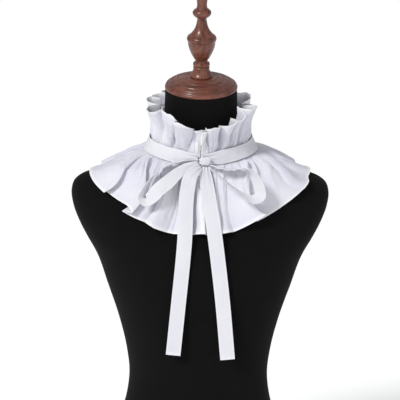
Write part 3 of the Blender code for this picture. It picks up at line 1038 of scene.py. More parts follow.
COTTON = ClothFinish(
    name="cotton_lawn",
    light=(0.76, 0.76, 0.81),
    dim=(0.69, 0.69, 0.78),
    doubled=(0.86, 0.86, 0.885),
    roughness=0.88,
    sheen=0.10,
    thread=0.0007,
    thread_bump=0.25,
    crumple=26.0,
    crumple_bump=0.35,
)
TAFFETA = ClothFinish(
    name="ribbon_taffeta",
    light=(0.74, 0.74, 0.775),
    dim=(0.70, 0.70, 0.755),
    doubled=(0.77, 0.77, 0.81),
    roughness=0.55,
    sheen=0.05,
    thread=0.0006,
    thread_bump=0.15,
    crumple=18.0,
    crumple_bump=0.12,
)


def weave_effect() -> Effect:
    """The effect that both cloths share.

    Returns:
        A group whose colour drifts between two tones and is lighter where the cloth lies double, less so
        along a hem's stitch line, where the mask paints shade, and whose normal carries soft crumples and the
        fine crossing of the threads.
    """
    effect = Effect(
        "woven_cloth",
        {
            "Place": "Vector", "Cloth": "Vector", "Doubled": "Float", "Light": "Color", "Dim": "Color",
            "Doubled Colour": "Color", "Threads": "Float", "Thread Bump": "Float", "Crumples": "Float",
            "Crumple Bump": "Float",
        },
        {"Colour": "Color", "Normal": "Vector"},
    )
    given, node = effect.inputs, effect.node
    place = given["Place"]
    tone = node("ShaderNodeTexNoise", Vector=place, Scale=14.0, Detail=3.0, Roughness=0.55).outputs["Fac"]
    part = node("ShaderNodeMapRange", Value=tone, From_Min=0.35, From_Max=0.62).outputs["Result"]
    drift = node("ShaderNodeMixRGB", Fac=part, Color1=given["Dim"], Color2=given["Light"]).outputs["Color"]
    # The doubled mask lightens turned edges and dips along a hem's stitch line, which paints shade there.
    edge = node("ShaderNodeMixRGB", Fac=given["Doubled"], Color1=drift, Color2=given["Doubled Colour"])
    crumple = node(
        "ShaderNodeTexNoise", Vector=place, Scale=given["Crumples"], Detail=4.0, Roughness=0.5, Distortion=0.4
    ).outputs["Fac"]
    soft = node("ShaderNodeBump", Strength=given["Crumple Bump"], Distance=0.004, Height=crumple)
    both = node("ShaderNodeMath", operation="MULTIPLY")
    for number, way in enumerate("XY"):
        wave = node("ShaderNodeTexWave", bands_direction=way, Vector=given["Cloth"], Scale=given["Threads"])
        effect.tree.links.new(wave.outputs["Fac"], both.inputs[number])
    fine = node(
        "ShaderNodeBump",
        Strength=given["Thread Bump"],
        Distance=0.0002,
        Height=both.outputs["Value"],
        Normal=soft.outputs["Normal"],
    )
    effect.give(Colour=edge.outputs["Color"], Normal=fine.outputs["Normal"])
    return effect


@dataclass(frozen=True)
class JerseyFinish:
    """The form's matt black jersey: two close tones, and the fine rib of the knit."""

    name: str = "black_jersey"
    tones: tuple[Stop, ...] = ((0.0, (0.0028, 0.0028, 0.0031)), (1.0, (0.0052, 0.0052, 0.0056)))
    ribs: float = 260.0
    rib_depth: float = 0.0003

    def material(self) -> bpy.types.Material:
        """Makes the jersey's material.

        Returns:
            The material.
        """
        shader = Shader(self.name)
        place = shader.place()
        tone = shader.node("ShaderNodeTexNoise", Vector=place, Scale=35.0, Detail=5.0, Roughness=0.6)
        rib = shader.node("ShaderNodeTexWave", Vector=place, Scale=self.ribs, Distortion=0.6, Detail=1.0)
        rib.bands_direction = "X"
        depth = shader.node(
            "ShaderNodeBump", Strength=0.25, Distance=self.rib_depth, Height=rib.outputs["Fac"]
        )
        return shader.set(
            Base_Color=shader.ramp(tone.outputs["Fac"], self.tones),
            Roughness=0.95,
            Specular_IOR_Level=0.08,
            Sheen_Weight=0.02,
            Sheen_Roughness=0.6,
            Normal=depth.outputs["Normal"],
        )


class Grain(Enum):
    """How the wood's grain runs in a turned piece: along its axis, or across it as in a plank."""

    ALONG = (70.0, 70.0, 5.0)
    ACROSS = (5.0, 60.0, 70.0)


WOOD_TONES = (
    (0.30, (0.056, 0.016, 0.011)),
    (0.50, (0.146, 0.048, 0.030)),
    (0.70, (0.240, 0.086, 0.052)),
)


def grain_effect() -> Effect:
    """The effect that both turned pieces share.

    Returns:
        A group whose colour runs in red-brown streaks, and whose normal follows them.
    """
    effect = Effect("wood_grain", {"Place": "Vector"}, {"Colour": "Color", "Normal": "Vector"})
    streaks = effect.node(
        "ShaderNodeTexNoise",
        Vector=effect.inputs["Place"],
        Scale=2.2,
        Detail=6.0,
        Roughness=0.62,
        Distortion=0.8,
    ).outputs["Fac"]
    bump = effect.node("ShaderNodeBump", Strength=0.12, Distance=0.0004, Height=streaks)
    effect.give(Colour=effect.ramp(streaks, WOOD_TONES), Normal=bump.outputs["Normal"])
    return effect


@dataclass(frozen=True)
class WoodFinish:
    """Varnished red-brown wood: which way its grain runs, and its varnish."""

    name: str
    grain: Grain
    roughness: float = 0.33
    varnish: float = 0.28
    varnish_roughness: float = 0.16
    specular: float = 0.32

    def material(self, streaks: Effect) -> bpy.types.Material:
        """Makes the wood's material, its grain turned to the leaning axis of the neck.

        Args:
            streaks: the effect of its grain.

        Returns:
            The material.
        """
        shader = Shader(self.name)
        lean = (math.radians(-NECK_TILT), 0, 0)
        place = shader.place()
        turned = shader.node("ShaderNodeMapping", Vector=place, Rotation=lean, Scale=self.grain.value)
        wood = shader.effect(streaks, Place=turned.outputs["Vector"])
        return shader.set(
            Base_Color=wood["Colour"],
            Roughness=self.roughness,
            Coat_Weight=self.varnish,
            Coat_Roughness=self.varnish_roughness,
            Specular_IOR_Level=self.specular,
            Normal=wood["Normal"],
        )


@dataclass(frozen=True)
class Turning:
    """One ring of a turned profile."""

    radius: float
    height: float


CAP_TURNING = (
    Turning(0.0520, 0.0000),
    Turning(0.0546, 0.0004),
    Turning(0.0553, 0.0014),
    Turning(0.0553, 0.0040),
    Turning(0.0546, 0.0052),
    Turning(0.0533, 0.0076),
    Turning(0.0526, 0.0082),
    Turning(0.0516, 0.0076),
    Turning(0.0509, 0.0080),
    Turning(0.0504, 0.0092),
    Turning(0.0464, 0.0121),
    Turning(0.0456, 0.0126),
    Turning(0.0446, 0.0119),
    Turning(0.0440, 0.0121),
    Turning(0.0434, 0.0130),
    Turning(0.0378, 0.0154),
    Turning(0.0370, 0.0158),
    Turning(0.0360, 0.0151),
    Turning(0.0353, 0.0152),
    Turning(0.0346, 0.0161),
    Turning(0.0282, 0.0178),
    Turning(0.0274, 0.0181),
    Turning(0.0264, 0.0175),
    Turning(0.0256, 0.0177),
    Turning(0.0248, 0.0184),
    Turning(0.0190, 0.0187),
    Turning(0.0100, 0.0187),
)
FINIAL_TURNING = (
    Turning(0.0162, 0.0188),
    Turning(0.0170, 0.0196),
    Turning(0.0168, 0.0214),
    Turning(0.0150, 0.0244),
    Turning(0.0132, 0.0281),
    Turning(0.0122, 0.0312),
    Turning(0.0126, 0.0330),
    Turning(0.0124, 0.0342),
    Turning(0.0110, 0.0352),
    Turning(0.0124, 0.0363),
    Turning(0.0128, 0.0389),
    Turning(0.0120, 0.0412),
    Turning(0.0090, 0.0419),
    Turning(0.0083, 0.0431),
    Turning(0.0094, 0.0451),
    Turning(0.0114, 0.0477),
    Turning(0.0140, 0.0521),
    Turning(0.0178, 0.0600),
    Turning(0.0204, 0.0687),
    Turning(0.0211, 0.0740),
    Turning(0.0214, 0.0758),
    Turning(0.0223, 0.0771),
    Turning(0.0224, 0.0791),
    Turning(0.0219, 0.0813),
    Turning(0.0168, 0.0862),
    Turning(0.0122, 0.0920),
    Turning(0.0094, 0.0978),
    Turning(0.0079, 0.1040),
    Turning(0.0076, 0.1105),
    Turning(0.0090, 0.1121),
    Turning(0.0118, 0.1143),
    Turning(0.0139, 0.1176),
    Turning(0.0139, 0.1206),
    Turning(0.0112, 0.1241),
    Turning(0.0084, 0.1260),
    Turning(0.0079, 0.1281),
    Turning(0.0082, 0.1480),
    Turning(0.0062, 0.1545),
    Turning(0.0025, 0.1570),
)


@dataclass(frozen=True)
class Display:
    """What the collar stands on: the form, its neck cap and its finial."""

    form: FormShape
    streaks: Effect
    jersey: JerseyFinish = JerseyFinish()
    cap_wood: WoodFinish = WoodFinish("neck_cap_wood", Grain.ACROSS)
    finial_wood: WoodFinish = WoodFinish("finial_wood", Grain.ALONG)
    form_segments: int = 144
    form_rings: int = 150
    turned_segments: int = 96
    rings_per_turning: int = 4
    cap: tuple[Turning, ...] = CAP_TURNING
    finial: tuple[Turning, ...] = FINIAL_TURNING

    def torso(self) -> bpy.types.Object:
        """The form, from its flat base at the hips to the tilted top of its neck.

        Returns:
            The object.
        """
        curve = self.form.curve[self.form.curve[:, 0] < NECK_TOP]
        heights = curve[np.linspace(0, len(curve) - 1, self.form_rings).astype(int), 0]
        heights[-1] = NECK_TOP
        tilts = NECK_TILT * smooth_step((heights - NECK_TILT_FROM) / (NECK_TOP - NECK_TILT_FROM))
        rings = [self.form.ring(height, tilt, self.form_segments) for height, tilt in zip(heights, tilts)]
        made = Surface.skin("form_body", np.array(rings), crisp=True)
        return dress(made, self.jersey.material(), "form_cloth", "form_torso")

    def turned(self, node: str, turnings: Sequence[Turning], wood: WoodFinish) -> bpy.types.Object:
        """A turned piece: its profile carried round the neck's axis, which leans forward with the neck.

        Args:
            node: the CAD node it stands for.
            turnings: its profile.
            wood: its finish, whose name the piece has too.

        Returns:
            The object.
        """
        rows = [astuple(turning) for turning in turnings]
        profile = along(rows, self.rings_per_turning * len(rows), measured=2)
        angle = np.linspace(0, 2 * math.pi, self.turned_segments, endpoint=False)
        lean = math.radians(NECK_TILT)
        x = profile[:, :1] * np.cos(angle)
        y = profile[:, :1] * np.sin(angle)
        z = profile[:, 1:] + GAP + 0 * angle
        rings = np.stack(
            [
                x,
                y * math.cos(lean) - z * math.sin(lean) - NECK_TOP_FORWARD,
                y * math.sin(lean) + z * math.cos(lean) + NECK_TOP,
            ],
            axis=-1,
        )
        return dress(Surface.skin(wood.name, rings, crisp=True), wood.material(self.streaks), "wood", node)

    def neck_cap(self) -> bpy.types.Object:
        """The cap on the neck, of a plank with its grain across."""
        return self.turned("neck_cap", self.cap, self.cap_wood)

    def top(self) -> bpy.types.Object:
        """The finial on the cap."""
        return self.turned("finial", self.finial, self.finial_wood)


@dataclass(frozen=True)
class Hem:
    """A turned and stitched edge, in metres: how wide, how much thicker, how deep its stitch line is pressed.

    The placket is the same turning down the front ends. The thickness and the paler tone of the doubled cloth
    each fade over a stretch of their own at the turning's inner edge, and dip along the stitch line: the
    thickness as its pressed groove, the tone as painted shade in that groove.
    """

    width: float
    extra: float
    pressed: float
    placket: float
    stitched: float = 0.0016
    fade: float = 0.0012
    line_width: float = 0.0006
    tone_fade: float = 0.0010
    # Where the stitch line's painted shade lies, how wide it is, and how far it dips the paler tone.
    painted_shade_line_in: float = 0.0012
    painted_shade_line_width: float = 0.0005
    painted_shade_dip: float = 0.55
    stitch: Stitch = Stitch()

    def dip(self, from_edge: Array, within: float, width: float) -> Array:
        """A bell of the given width, 1 along a line that lies within the turning's inner edge."""
        return np.exp(-(((from_edge - self.width + within) / width) ** 2))

    def extra_at(self, from_edge: Array) -> Array:
        """What the hem adds to the wall's thickness, by the distance from the edge."""
        band = smooth_step((self.width - from_edge) / self.fade)
        return self.extra * band - self.pressed * self.dip(from_edge, self.stitched, self.line_width)

    def doubled_with_painted_shade_at(self, from_edge: Array) -> Array:
        """How far each place belongs to the turned edge: 0 to 1, a little less along the stitch line, as
        painted shade.
        """
        band = smooth_step((self.width - from_edge) / self.tone_fade)
        # The dip along the stitch line paints the shade of its pressed groove into the tone.
        return band * (1 - self.painted_shade_dip * self.dip(from_edge, self.painted_shade_line_in, self.painted_shade_line_width))


@dataclass(frozen=True)
class Gathering:
    """How finely a gathered cloth is meshed, its hem, and its small ripples, which the seam holds flat.

    The rows crowd towards the edge by a power. The seam's length for each metre of the edge is seam_share,
    which keeps a placket as wide at the seam as at the edge.
    """

    counts: tuple[int, ...]
    rows: int
    hem: Hem
    ripples: Ripples
    crowding: float = 0.92
    ripples_from: float = 0.012
    ripples_fade: float = 0.020
    seam_share: float = 0.35


@dataclass(frozen=True)
class Tape:
    """The ribbon's cloth, in metres: its width and wall, the fine cord and firmer tone along each edge.

    A free end is turned back and pressed, over end_fold, and is thicker there by end_extra.
    """

    width: float = 0.022
    wall: float = 0.00045
    cord: float = 0.00025
    cord_width: float = 0.0007
    firm: float = 0.8
    firm_width: float = 0.0024
    firm_fade: float = 0.0012
    end_fold: float = 0.005
    end_extra: float = 0.00035
    end_fade: float = 0.0008

    def from_edge(self, across: Array) -> Array:
        """How far each share of the width lies from the nearer edge."""
        return np.minimum(across, 1 - across) * self.width

    def wall_at(self, across: Array) -> Array:
        """The thickness at each share of the width."""
        return self.wall + self.cord * np.exp(-((self.from_edge(across) / self.cord_width) ** 2))

    def firm_at(self, across: Array) -> Array:
        """How far each share of the width belongs to the firmer edges: 0 to 1."""
        return self.firm * smooth_step((self.firm_width - self.from_edge(across)) / self.firm_fade)

    def turned_at(self, from_end: Array) -> Array:
        """How far each distance from a free end belongs to its turning: 0 to 1."""
        return smooth_step((self.end_fold - from_end) / self.end_fade)


TAPE = Tape()


@dataclass
class Collar:
    """The collar's two gathered cloths and the ribbon round the seam between them, in metres and degrees.

    The flounce rests on the form at its edge and puffs out between. The ruffle flares from the neck. The
    ribbon's edges run band_down below the seam and the rest of the width above it, each with its own lift off
    the cloth, and both are pulled together near the knot.
    """

    form: FormShape
    cotton: bpy.types.Material
    taffeta: bpy.types.Material
    wall: float = 0.0007
    seam_drop: float = 0.0002
    rest: float = 0.0004
    puff: Around = Around(0.0015, 0.0085, 0.0060)
    puff_peak: float = 0.36
    flounce_reach: float = 0.1300
    flounce_rows: int = 56
    columns_a_degree: float = 1.5
    columns_a_metre: float = 1100.0
    fewest_columns: int = 12
    flounce_cut: tuple[float, float] = (0.105, 1.22)
    flounce_hem: Hem = Hem(width=0.0052, extra=0.00035, pressed=0.00025, placket=0.009)
    flounce_ripples: Ripples = Ripples(seed=3, waves=7, longest=0.060, shortest=0.012, height=0.00045)
    flare: Around = Around(0.0160, 0.0125, 0.0170)
    flare_power: float = 1.6
    ruffle_past_edge: float = 1.1
    ruffle_reach: float = 0.0780
    ruffle_rows: int = 42
    ruffle_columns: int = 34
    ruffle_cut: tuple[float, float] = (0.060, 1.12)
    ruffle_hem: Hem = Hem(width=0.0045, extra=0.00035, pressed=0.00020, placket=0.015)
    ruffle_ripples: Ripples = Ripples(seed=8, waves=7, longest=0.060, shortest=0.012, height=0.00045)
    band_from: float = 4.0
    band_rows: int = 23
    band_columns: int = 620
    band_down: Around = Around(0.0110, 0.0065, 0.0100)
    band_lift_above: float = 0.0053
    band_lift_below: float = 0.0034
    band_pull: float = 0.0042
    band_pull_fades: float = 24.0
    band_pleat: float = 0.0008
    band_pleats: float = 2.5
    band_ripples: Ripples = Ripples(seed=21, waves=6, longest=0.070, shortest=0.014, height=0.0006)
    band_length: float = 0.47
    below: Drape = field(init=False)
    above: Drape = field(init=False)

    def __post_init__(self) -> None:
        """Works out the two surfaces that the cloths and the ribbon lie on."""
        self.below = Drape(self.form, self.flounce_clearance, self.flounce_reach, Way.DOWN)
        self.above = Drape(self.form, self.ruffle_clearance, self.ruffle_reach, Way.UP)

    def flounce_clearance(self, azimuth: Array, distance: float) -> Array:
        """How far the flounce's valleys lie off the form: close at its edge, puffed out over the shoulder.

        Args:
            azimuth: degrees round the neck.
            distance: metres from the seam.

        Returns:
            The clearances.
        """
        share = np.clip(distance / FLOUNCE.length.at(azimuth), 0, 1)
        rise, fall = share / self.puff_peak, (1 - share) / (1 - self.puff_peak)
        bell = smooth_step(np.minimum(rise, fall))
        return self.rest + (SEAM_CLEARANCE - self.rest) * (1 - share) ** 3 + self.puff.at(azimuth) * bell

    def ruffle_clearance(self, azimuth: Array, distance: float) -> Array:
        """How far the middle of the ruffle's waves leaves the neck, more and more as it rises."""
        share = np.clip(distance / RUFFLE.length.at(azimuth), 0, self.ruffle_past_edge)
        return SEAM_CLEARANCE + self.flare.at(azimuth) * share**self.flare_power

    def gathered(
        self, name: str, cloth: Cloth, drape: Drape, gathering: Gathering, node: str
    ) -> bpy.types.Object:
        """A gathered cloth as a closed thin wall, with the stitches of its hem beside it.

        Its ripples and the wall's thickness stand on the cloth's own direction, and the hem's thickness comes
        from each point's distance along the cloth to the nearest edge.

        Args:
            name: the piece's name.
            cloth: its folds and creases.
            drape: the surface under them.
            gathering: its mesh, its hem and its ripples.
            node: the CAD node it stands for.

        Returns:
            The cloth's object.
        """
        hem = gathering.hem
        shares = np.linspace(0, 1, gathering.rows) ** gathering.crowding
        inner, _, share, distance = cloth.points(drape, gathering.counts, shares)
        run = np.r_[0, np.cumsum(np.linalg.norm(np.diff(inner[-1], axis=0), axis=-1))]
        places = np.stack([np.broadcast_to(run, distance.shape), distance], axis=-1)
        normal = self.form.normals(inner)
        free = smooth_step((distance - gathering.ripples_from) / gathering.ripples_fade)
        off_seam = gathering.ripples.at(places) * free + self.seam_drop
        middle = inner + self.wall / 2 * self.form.off(inner)[1] + off_seam[..., None] * normal
        inner = middle - self.wall / 2 * normal
        steps = np.linalg.norm(np.diff(inner, axis=0), axis=-1)
        from_edge = np.r_[np.cumsum(steps[::-1], axis=0)[::-1], np.zeros((1, inner.shape[1]))]
        closer = gathering.seam_share + (1 - gathering.seam_share) * share
        from_end = np.minimum(run, run[-1] - run) * closer * hem.width / hem.placket
        nearest = np.minimum(from_edge, from_end)
        outer = inner + (self.wall + hem.extra_at(nearest))[..., None] * normal
        # The hem's mask is paler where the cloth lies double, with painted shade along the stitch line.
        made = Surface.shell(name, inner, outer, places, hem.doubled_with_painted_shade_at(nearest))
        self.sew(name.replace("cloth", "stitches"), outer, normal, from_edge, hem)
        LOG.info("%s: %.3f m along its edge", name, run[-1])
        return dress(made, self.cotton, "cotton", node)

    def sew(self, name: str, outer: Array, normal: Array, from_edge: Array, hem: Hem) -> bpy.types.Object:
        """The row of stitches along a hem, laid where each column of the cloth crosses the stitch line.

        Args:
            name: the piece's name.
            outer: the grid of the cloth's outer face.
            normal: its outward direction at each point.
            from_edge: how far each point lies from the edge.
            hem: the hem.

        Returns:
            The object.
        """
        wanted = hem.width - hem.stitched
        row = np.argmin(np.abs(from_edge - wanted), axis=0)
        column = np.arange(len(row))
        before, after = np.clip([row - 1, row + 1], 0, len(from_edge) - 1)
        toward = np.where(from_edge[row, column] < wanted, before, after)
        gap = from_edge[toward, column] - from_edge[row, column]
        part = ((wanted - from_edge[row, column]) / np.where(gap == 0, 1, gap))[:, None]
        line = outer[row, column] * (1 - part) + outer[toward, column] * part
        return dress(Surface.stitches(name, line, normal[row, column], hem.stitch), self.cotton, "cotton")

    def flounce(self) -> bpy.types.Object:
        """The shoulder flounce: open at the front, where its left end lies over its right end.

        Returns:
            The object.
        """
        to_width, to_height = self.columns_a_degree, self.columns_a_metre
        wanted = [to_width * fold.width + to_height * fold.height for fold in FLOUNCE.folds]
        counts = tuple(max(self.fewest_columns, round(count)) for count in wanted)
        gathering = Gathering(counts, self.flounce_rows, self.flounce_hem, self.flounce_ripples)
        made = self.gathered("flounce_cloth", FLOUNCE, self.below, gathering, "flounce")
        return made

    def ruffle(self) -> bpy.types.Object:
        """The standing ruffle: it rises from the seam along the neck and flares to a waved top edge.

        Returns:
            The object.
        """
        counts = (self.ruffle_columns,) * len(RUFFLE.folds)
        gathering = Gathering(counts, self.ruffle_rows, self.ruffle_hem, self.ruffle_ripples)
        made = self.gathered("ruffle_cloth", RUFFLE, self.above, gathering, "stand_ruffle")
        return made

    def tie(self) -> bpy.types.Object:
        """The ribbon round the neck: straight across from the ruffle to the flounce, over the seam.

        Returns:
            The object.
        """
        azimuth = np.linspace(self.band_from, 360 - self.band_from, self.band_columns)
        from_knot = np.minimum(azimuth, 360 - azimuth) - self.band_from
        pulled = 1 - smooth_step(from_knot / self.band_pull_fades)
        down = self.band_down.at(azimuth)
        top = self.above.read(azimuth, TAPE.width - down - self.band_pull * pulled)
        top = top + self.band_lift_above * self.form.off(top)[1]
        foot = self.below.read(azimuth, down - self.band_pull * pulled)
        foot = foot + self.band_lift_below * self.form.off(foot)[1]
        across = np.linspace(0, 1, self.band_rows)[:, None]
        inner = top + across[..., None] * (foot - top)
        run = np.r_[0, np.cumsum(np.linalg.norm(np.diff(inner[self.band_rows // 2], axis=0), axis=-1))]
        across = across + 0 * run
        places = np.stack([run + 0 * across, across * TAPE.width], axis=-1)
        normal = self.form.normals(inner)
        pleats = self.band_pleat * np.cos(self.band_pleats * math.pi * (2 * across - 1)) * pulled
        uneven = self.band_ripples.height + self.band_ripples.at(places)
        inner = inner + (pleats + uneven)[..., None] * normal
        outer = inner + TAPE.wall_at(across)[..., None] * normal
        made = Surface.shell("tie_ribbon", inner, outer, places, TAPE.firm_at(across))
        dress(made, self.taffeta, "ribbon", "tie_band")
        return made


@dataclass(frozen=True)
class Station:
    """A place on a ribbon's middle line. A turn of 0 shows its whole width to the front, and 90 its edge."""

    x: float
    y: float
    z: float
    turn: float = 0.0
    width: float = 0.022


LEFT_LOOP = (
    Station(-0.0032, -0.0700, 0.5428, 90, 0.006),
    Station(-0.0240, -0.0715, 0.5410, 90, 0.012),
    Station(-0.0440, -0.0775, 0.5365, 90, 0.019),
    Station(-0.0630, -0.0825, 0.5260, 88, 0.022),
    Station(-0.0752, -0.0885, 0.5105, 76, 0.022),
    Station(-0.0828, -0.0940, 0.4955, 62, 0.021),
    Station(-0.0852, -0.0988, 0.4868, 50, 0.019),
    Station(-0.0808, -0.1015, 0.4835, 42, 0.020),
    Station(-0.0722, -0.1028, 0.4890, 34, 0.022),
    Station(-0.0610, -0.1010, 0.5010, 26, 0.022),
    Station(-0.0475, -0.0955, 0.5115, 20, 0.021),
    Station(-0.0350, -0.0870, 0.5225, 22, 0.018),
    Station(-0.0210, -0.0790, 0.5320, 30, 0.013),
    Station(-0.0035, -0.0740, 0.5375, 40, 0.008),
)
RIGHT_LOOP = (
    Station(0.0152, -0.0745, 0.5350, 90, 0.007),
    Station(0.0260, -0.0775, 0.5325, 90, 0.016),
    Station(0.0415, -0.0800, 0.5300, 90, 0.022),
    Station(0.0595, -0.0835, 0.5310, 95, 0.022),
    Station(0.0720, -0.0890, 0.5280, 110, 0.022),
    Station(0.0820, -0.0920, 0.5180, 128, 0.022),
    Station(0.0885, -0.0935, 0.5045, 136, 0.022),
    Station(0.0895, -0.0950, 0.4910, 135, 0.022),
    Station(0.0805, -0.0985, 0.4860, 120, 0.022),
    Station(0.0685, -0.0985, 0.4905, 105, 0.022),
    Station(0.0535, -0.0950, 0.5005, 95, 0.022),
    Station(0.0340, -0.0900, 0.5150, 90, 0.018),
    Station(0.0235, -0.0830, 0.5235, 90, 0.012),
    Station(0.0135, -0.0760, 0.5315, 90, 0.007),
)
LEFT_TAIL = (
    Station(0.0005, -0.0775, 0.5322, 5, 0.010),
    Station(-0.0060, -0.0840, 0.5275, 0, 0.016),
    Station(-0.0130, -0.0885, 0.5210, 0, 0.020),
    Station(-0.0190, -0.0900, 0.4985),
    Station(-0.0210, -0.0950, 0.4755),
    Station(-0.0213, -0.1045, 0.4530),
    Station(-0.0220, -0.1070, 0.4295),
    Station(-0.0250, -0.1065, 0.3885),
    Station(-0.0300, -0.1060, 0.3355),
    Station(-0.0380, -0.1050, 0.2505),
)
RIGHT_TAIL = (
    Station(0.0080, -0.0728, 0.5318, 15, 0.010),
    Station(0.0080, -0.0772, 0.5205, 15, 0.018),
    Station(0.0115, -0.0862, 0.4985, 8, 0.021),
    Station(0.0150, -0.0930, 0.4755, 5, 0.022),
    Station(0.0195, -0.1025, 0.4525),
    Station(0.0230, -0.1068, 0.4295),
    Station(0.0285, -0.1060, 0.3890),
    Station(0.0350, -0.1050, 0.3360),
    Station(0.0440, -0.1045, 0.2445),
)


class End(Enum):
    """How a stretch of ribbon ends, by how it is held: in the knot again, or free."""

    KNOT = "folded"
    FREE = "hung"


@dataclass(frozen=True)
class Ribbon:
    """A stretch of ribbon along its stations, pleated where the knot gathers it, in metres.

    It is cupped a little across its width: its edges lie higher than its middle by about the cup.
    """

    name: str
    node: str
    stations: tuple[Station, ...]
    end: End
    ripples: Ripples
    step: float = 0.0012
    columns: int = 15
    pleat: float = 0.0009
    pleats: float = 2.5
    pleats_fade: float = 0.018
    cup: float = 0.0004
    cup_level: float = 0.33

    def make(self, taffeta: bpy.types.Material, rests_on: Sequence[str]) -> bpy.types.Object:
        """The ribbon as a closed thin wall.

        Each station's width lies across the middle line, turned about it. Pleats, ripples and cup move it
        along its own direction, and the wall stands half to each side.

        Args:
            taffeta: its material.
            rests_on: what it lies on or hangs from; not used.

        Returns:
            The object.
        """
        stations = np.array([astuple(station) for station in self.stations])
        length = np.linalg.norm(np.diff(stations[:, :3], axis=0), axis=1).sum()
        rows = along(stations, round(length / self.step) + 1)
        middle, turn, width = rows[:, :3], np.radians(rows[:, 3:4]), rows[:, 4:5]
        heading = unit(np.gradient(middle, axis=0))
        level = unit(np.cross(heading, np.array([0.0, 1.0, 0.0])))
        half = width / 2 * (np.cos(turn) * level + np.sin(turn) * np.cross(level, heading))
        side = np.linspace(-1, 1, self.columns)
        mid = middle[:, None] + side[:, None] * half[:, None]
        normal = grid_normals(mid)
        run = np.r_[0, np.cumsum(np.linalg.norm(np.diff(middle, axis=0), axis=1))][:, None]
        from_end = run[-1] - run
        places = np.stack([run + 0 * side, side * TAPE.width / 2 + 0 * run], axis=-1)
        wall = TAPE.wall_at((side + 1) / 2) + 0 * run
        firm = TAPE.firm_at((side + 1) / 2) + 0 * run
        gathered = np.exp(-run / self.pleats_fade)
        if self.end is End.KNOT:
            gathered = gathered + np.exp(-from_end / self.pleats_fade)
        else:
            wall = wall + TAPE.end_extra * TAPE.turned_at(from_end)
            firm = np.maximum(firm, TAPE.turned_at(from_end))
        lift = self.pleat * gathered * np.cos(self.pleats * math.pi * side + self.ripples.seed)
        lift = lift + self.ripples.at(places)
        lift = lift + self.cup * (side**2 - self.cup_level)
        mid = mid + lift[..., None] * normal
        thick = wall[..., None] / 2 * normal
        made = Surface.shell(self.name, mid - thick, mid + thick, places, firm)
        dress(made, taffeta, "ribbon", self.node)
        return made


BOW_RIPPLES = partial(Ripples, waves=5, longest=0.080, shortest=0.020, height=0.00035)
BOW = (
    Ribbon("loop_left_ribbon", "bow_loop_left", LEFT_LOOP, End.KNOT, BOW_RIPPLES(2)),
    Ribbon("loop_right_ribbon", "bow_loop_right", RIGHT_LOOP, End.KNOT, BOW_RIPPLES(5)),
    Ribbon("tail_left_ribbon", "ribbon_tail_left", LEFT_TAIL, End.FREE, BOW_RIPPLES(4)),
    Ribbon("tail_right_ribbon", "ribbon_tail_right", RIGHT_TAIL, End.FREE, BOW_RIPPLES(7)),
)


@dataclass(frozen=True)
class Knot:
    """The bow's knot: a flat crumpled pad with the slanting folds of the ribbon wrapped round it.

    The folds lie side by side, each as wide as fold, on lines that slant by degrees and bend by two sine
    waves, each with a size, a length in metres and a phase. A groove is sunk between them by a share of the
    pad's size, more in depth than across.
    """

    centre: tuple[float, float, float] = (0.0070, -0.0716, 0.5405)
    width: float = 0.0180
    depth: float = 0.0084
    height: float = 0.0130
    roundness: float = 3.2
    segments: int = 120
    rings: int = 80
    fold: float = 0.0050
    slant: float = 62.0
    bend: tuple[float, float, float] = (0.55, 0.0050, 0.7)
    side_bend: tuple[float, float, float] = (0.35, 0.0031, 0.0)
    groove: float = 0.22
    groove_power: float = 0.6
    groove_across: float = 0.7
    crumple: float = 0.05
    crumple_lengths: tuple[float, float, float] = (0.0013, 0.0021, 0.0017)

    def make(self, taffeta: bpy.types.Material) -> bpy.types.Object:
        """The knot: a superellipsoid whose radius dips along slanting, unevenly bent lines.

        Args:
            taffeta: its material.

        Returns:
            The object.
        """
        angle = np.linspace(0, 2 * math.pi, self.segments, endpoint=False)
        power = 2 / self.roundness
        side = np.sign(np.cos(angle)) * np.abs(np.cos(angle)) ** power
        depth = np.sign(np.sin(angle)) * np.abs(np.sin(angle)) ** power
        level = np.sin(np.linspace(-1, 1, self.rings + 2)[1:-1] * math.pi / 2)[:, None]
        scale = (1 - np.abs(level) ** self.roundness) ** (1 / self.roundness) / 2
        x, y, z = self.width * scale * side, self.depth * scale * depth, self.height / 2 * level + 0 * side
        slant = math.radians(self.slant)
        (size, length, phase), (side_size, side_length, side_phase) = self.bend, self.side_bend
        bent = size * np.sin(x / length + phase) + side_size * np.sin((x - z) / side_length + side_phase)
        across = (x * math.cos(slant) + z * math.sin(slant)) / self.fold
        fullness = np.abs(np.sin(math.pi * across + bent)) ** self.groove_power
        first, second, third = self.crumple_lengths
        crumple = self.crumple * np.sin(x / first + z / second) * np.sin(z / third)
        inset = 1 - self.groove * (1 - fullness) + crumple
        less = 1 - self.groove_across * (1 - inset)
        rings = np.stack([x * less, y * inset, z * less], axis=-1) + np.array(self.centre)
        return dress(Surface.skin("knot_ribbon", rings, crisp=False), taffeta, "ribbon", "bow_knot")


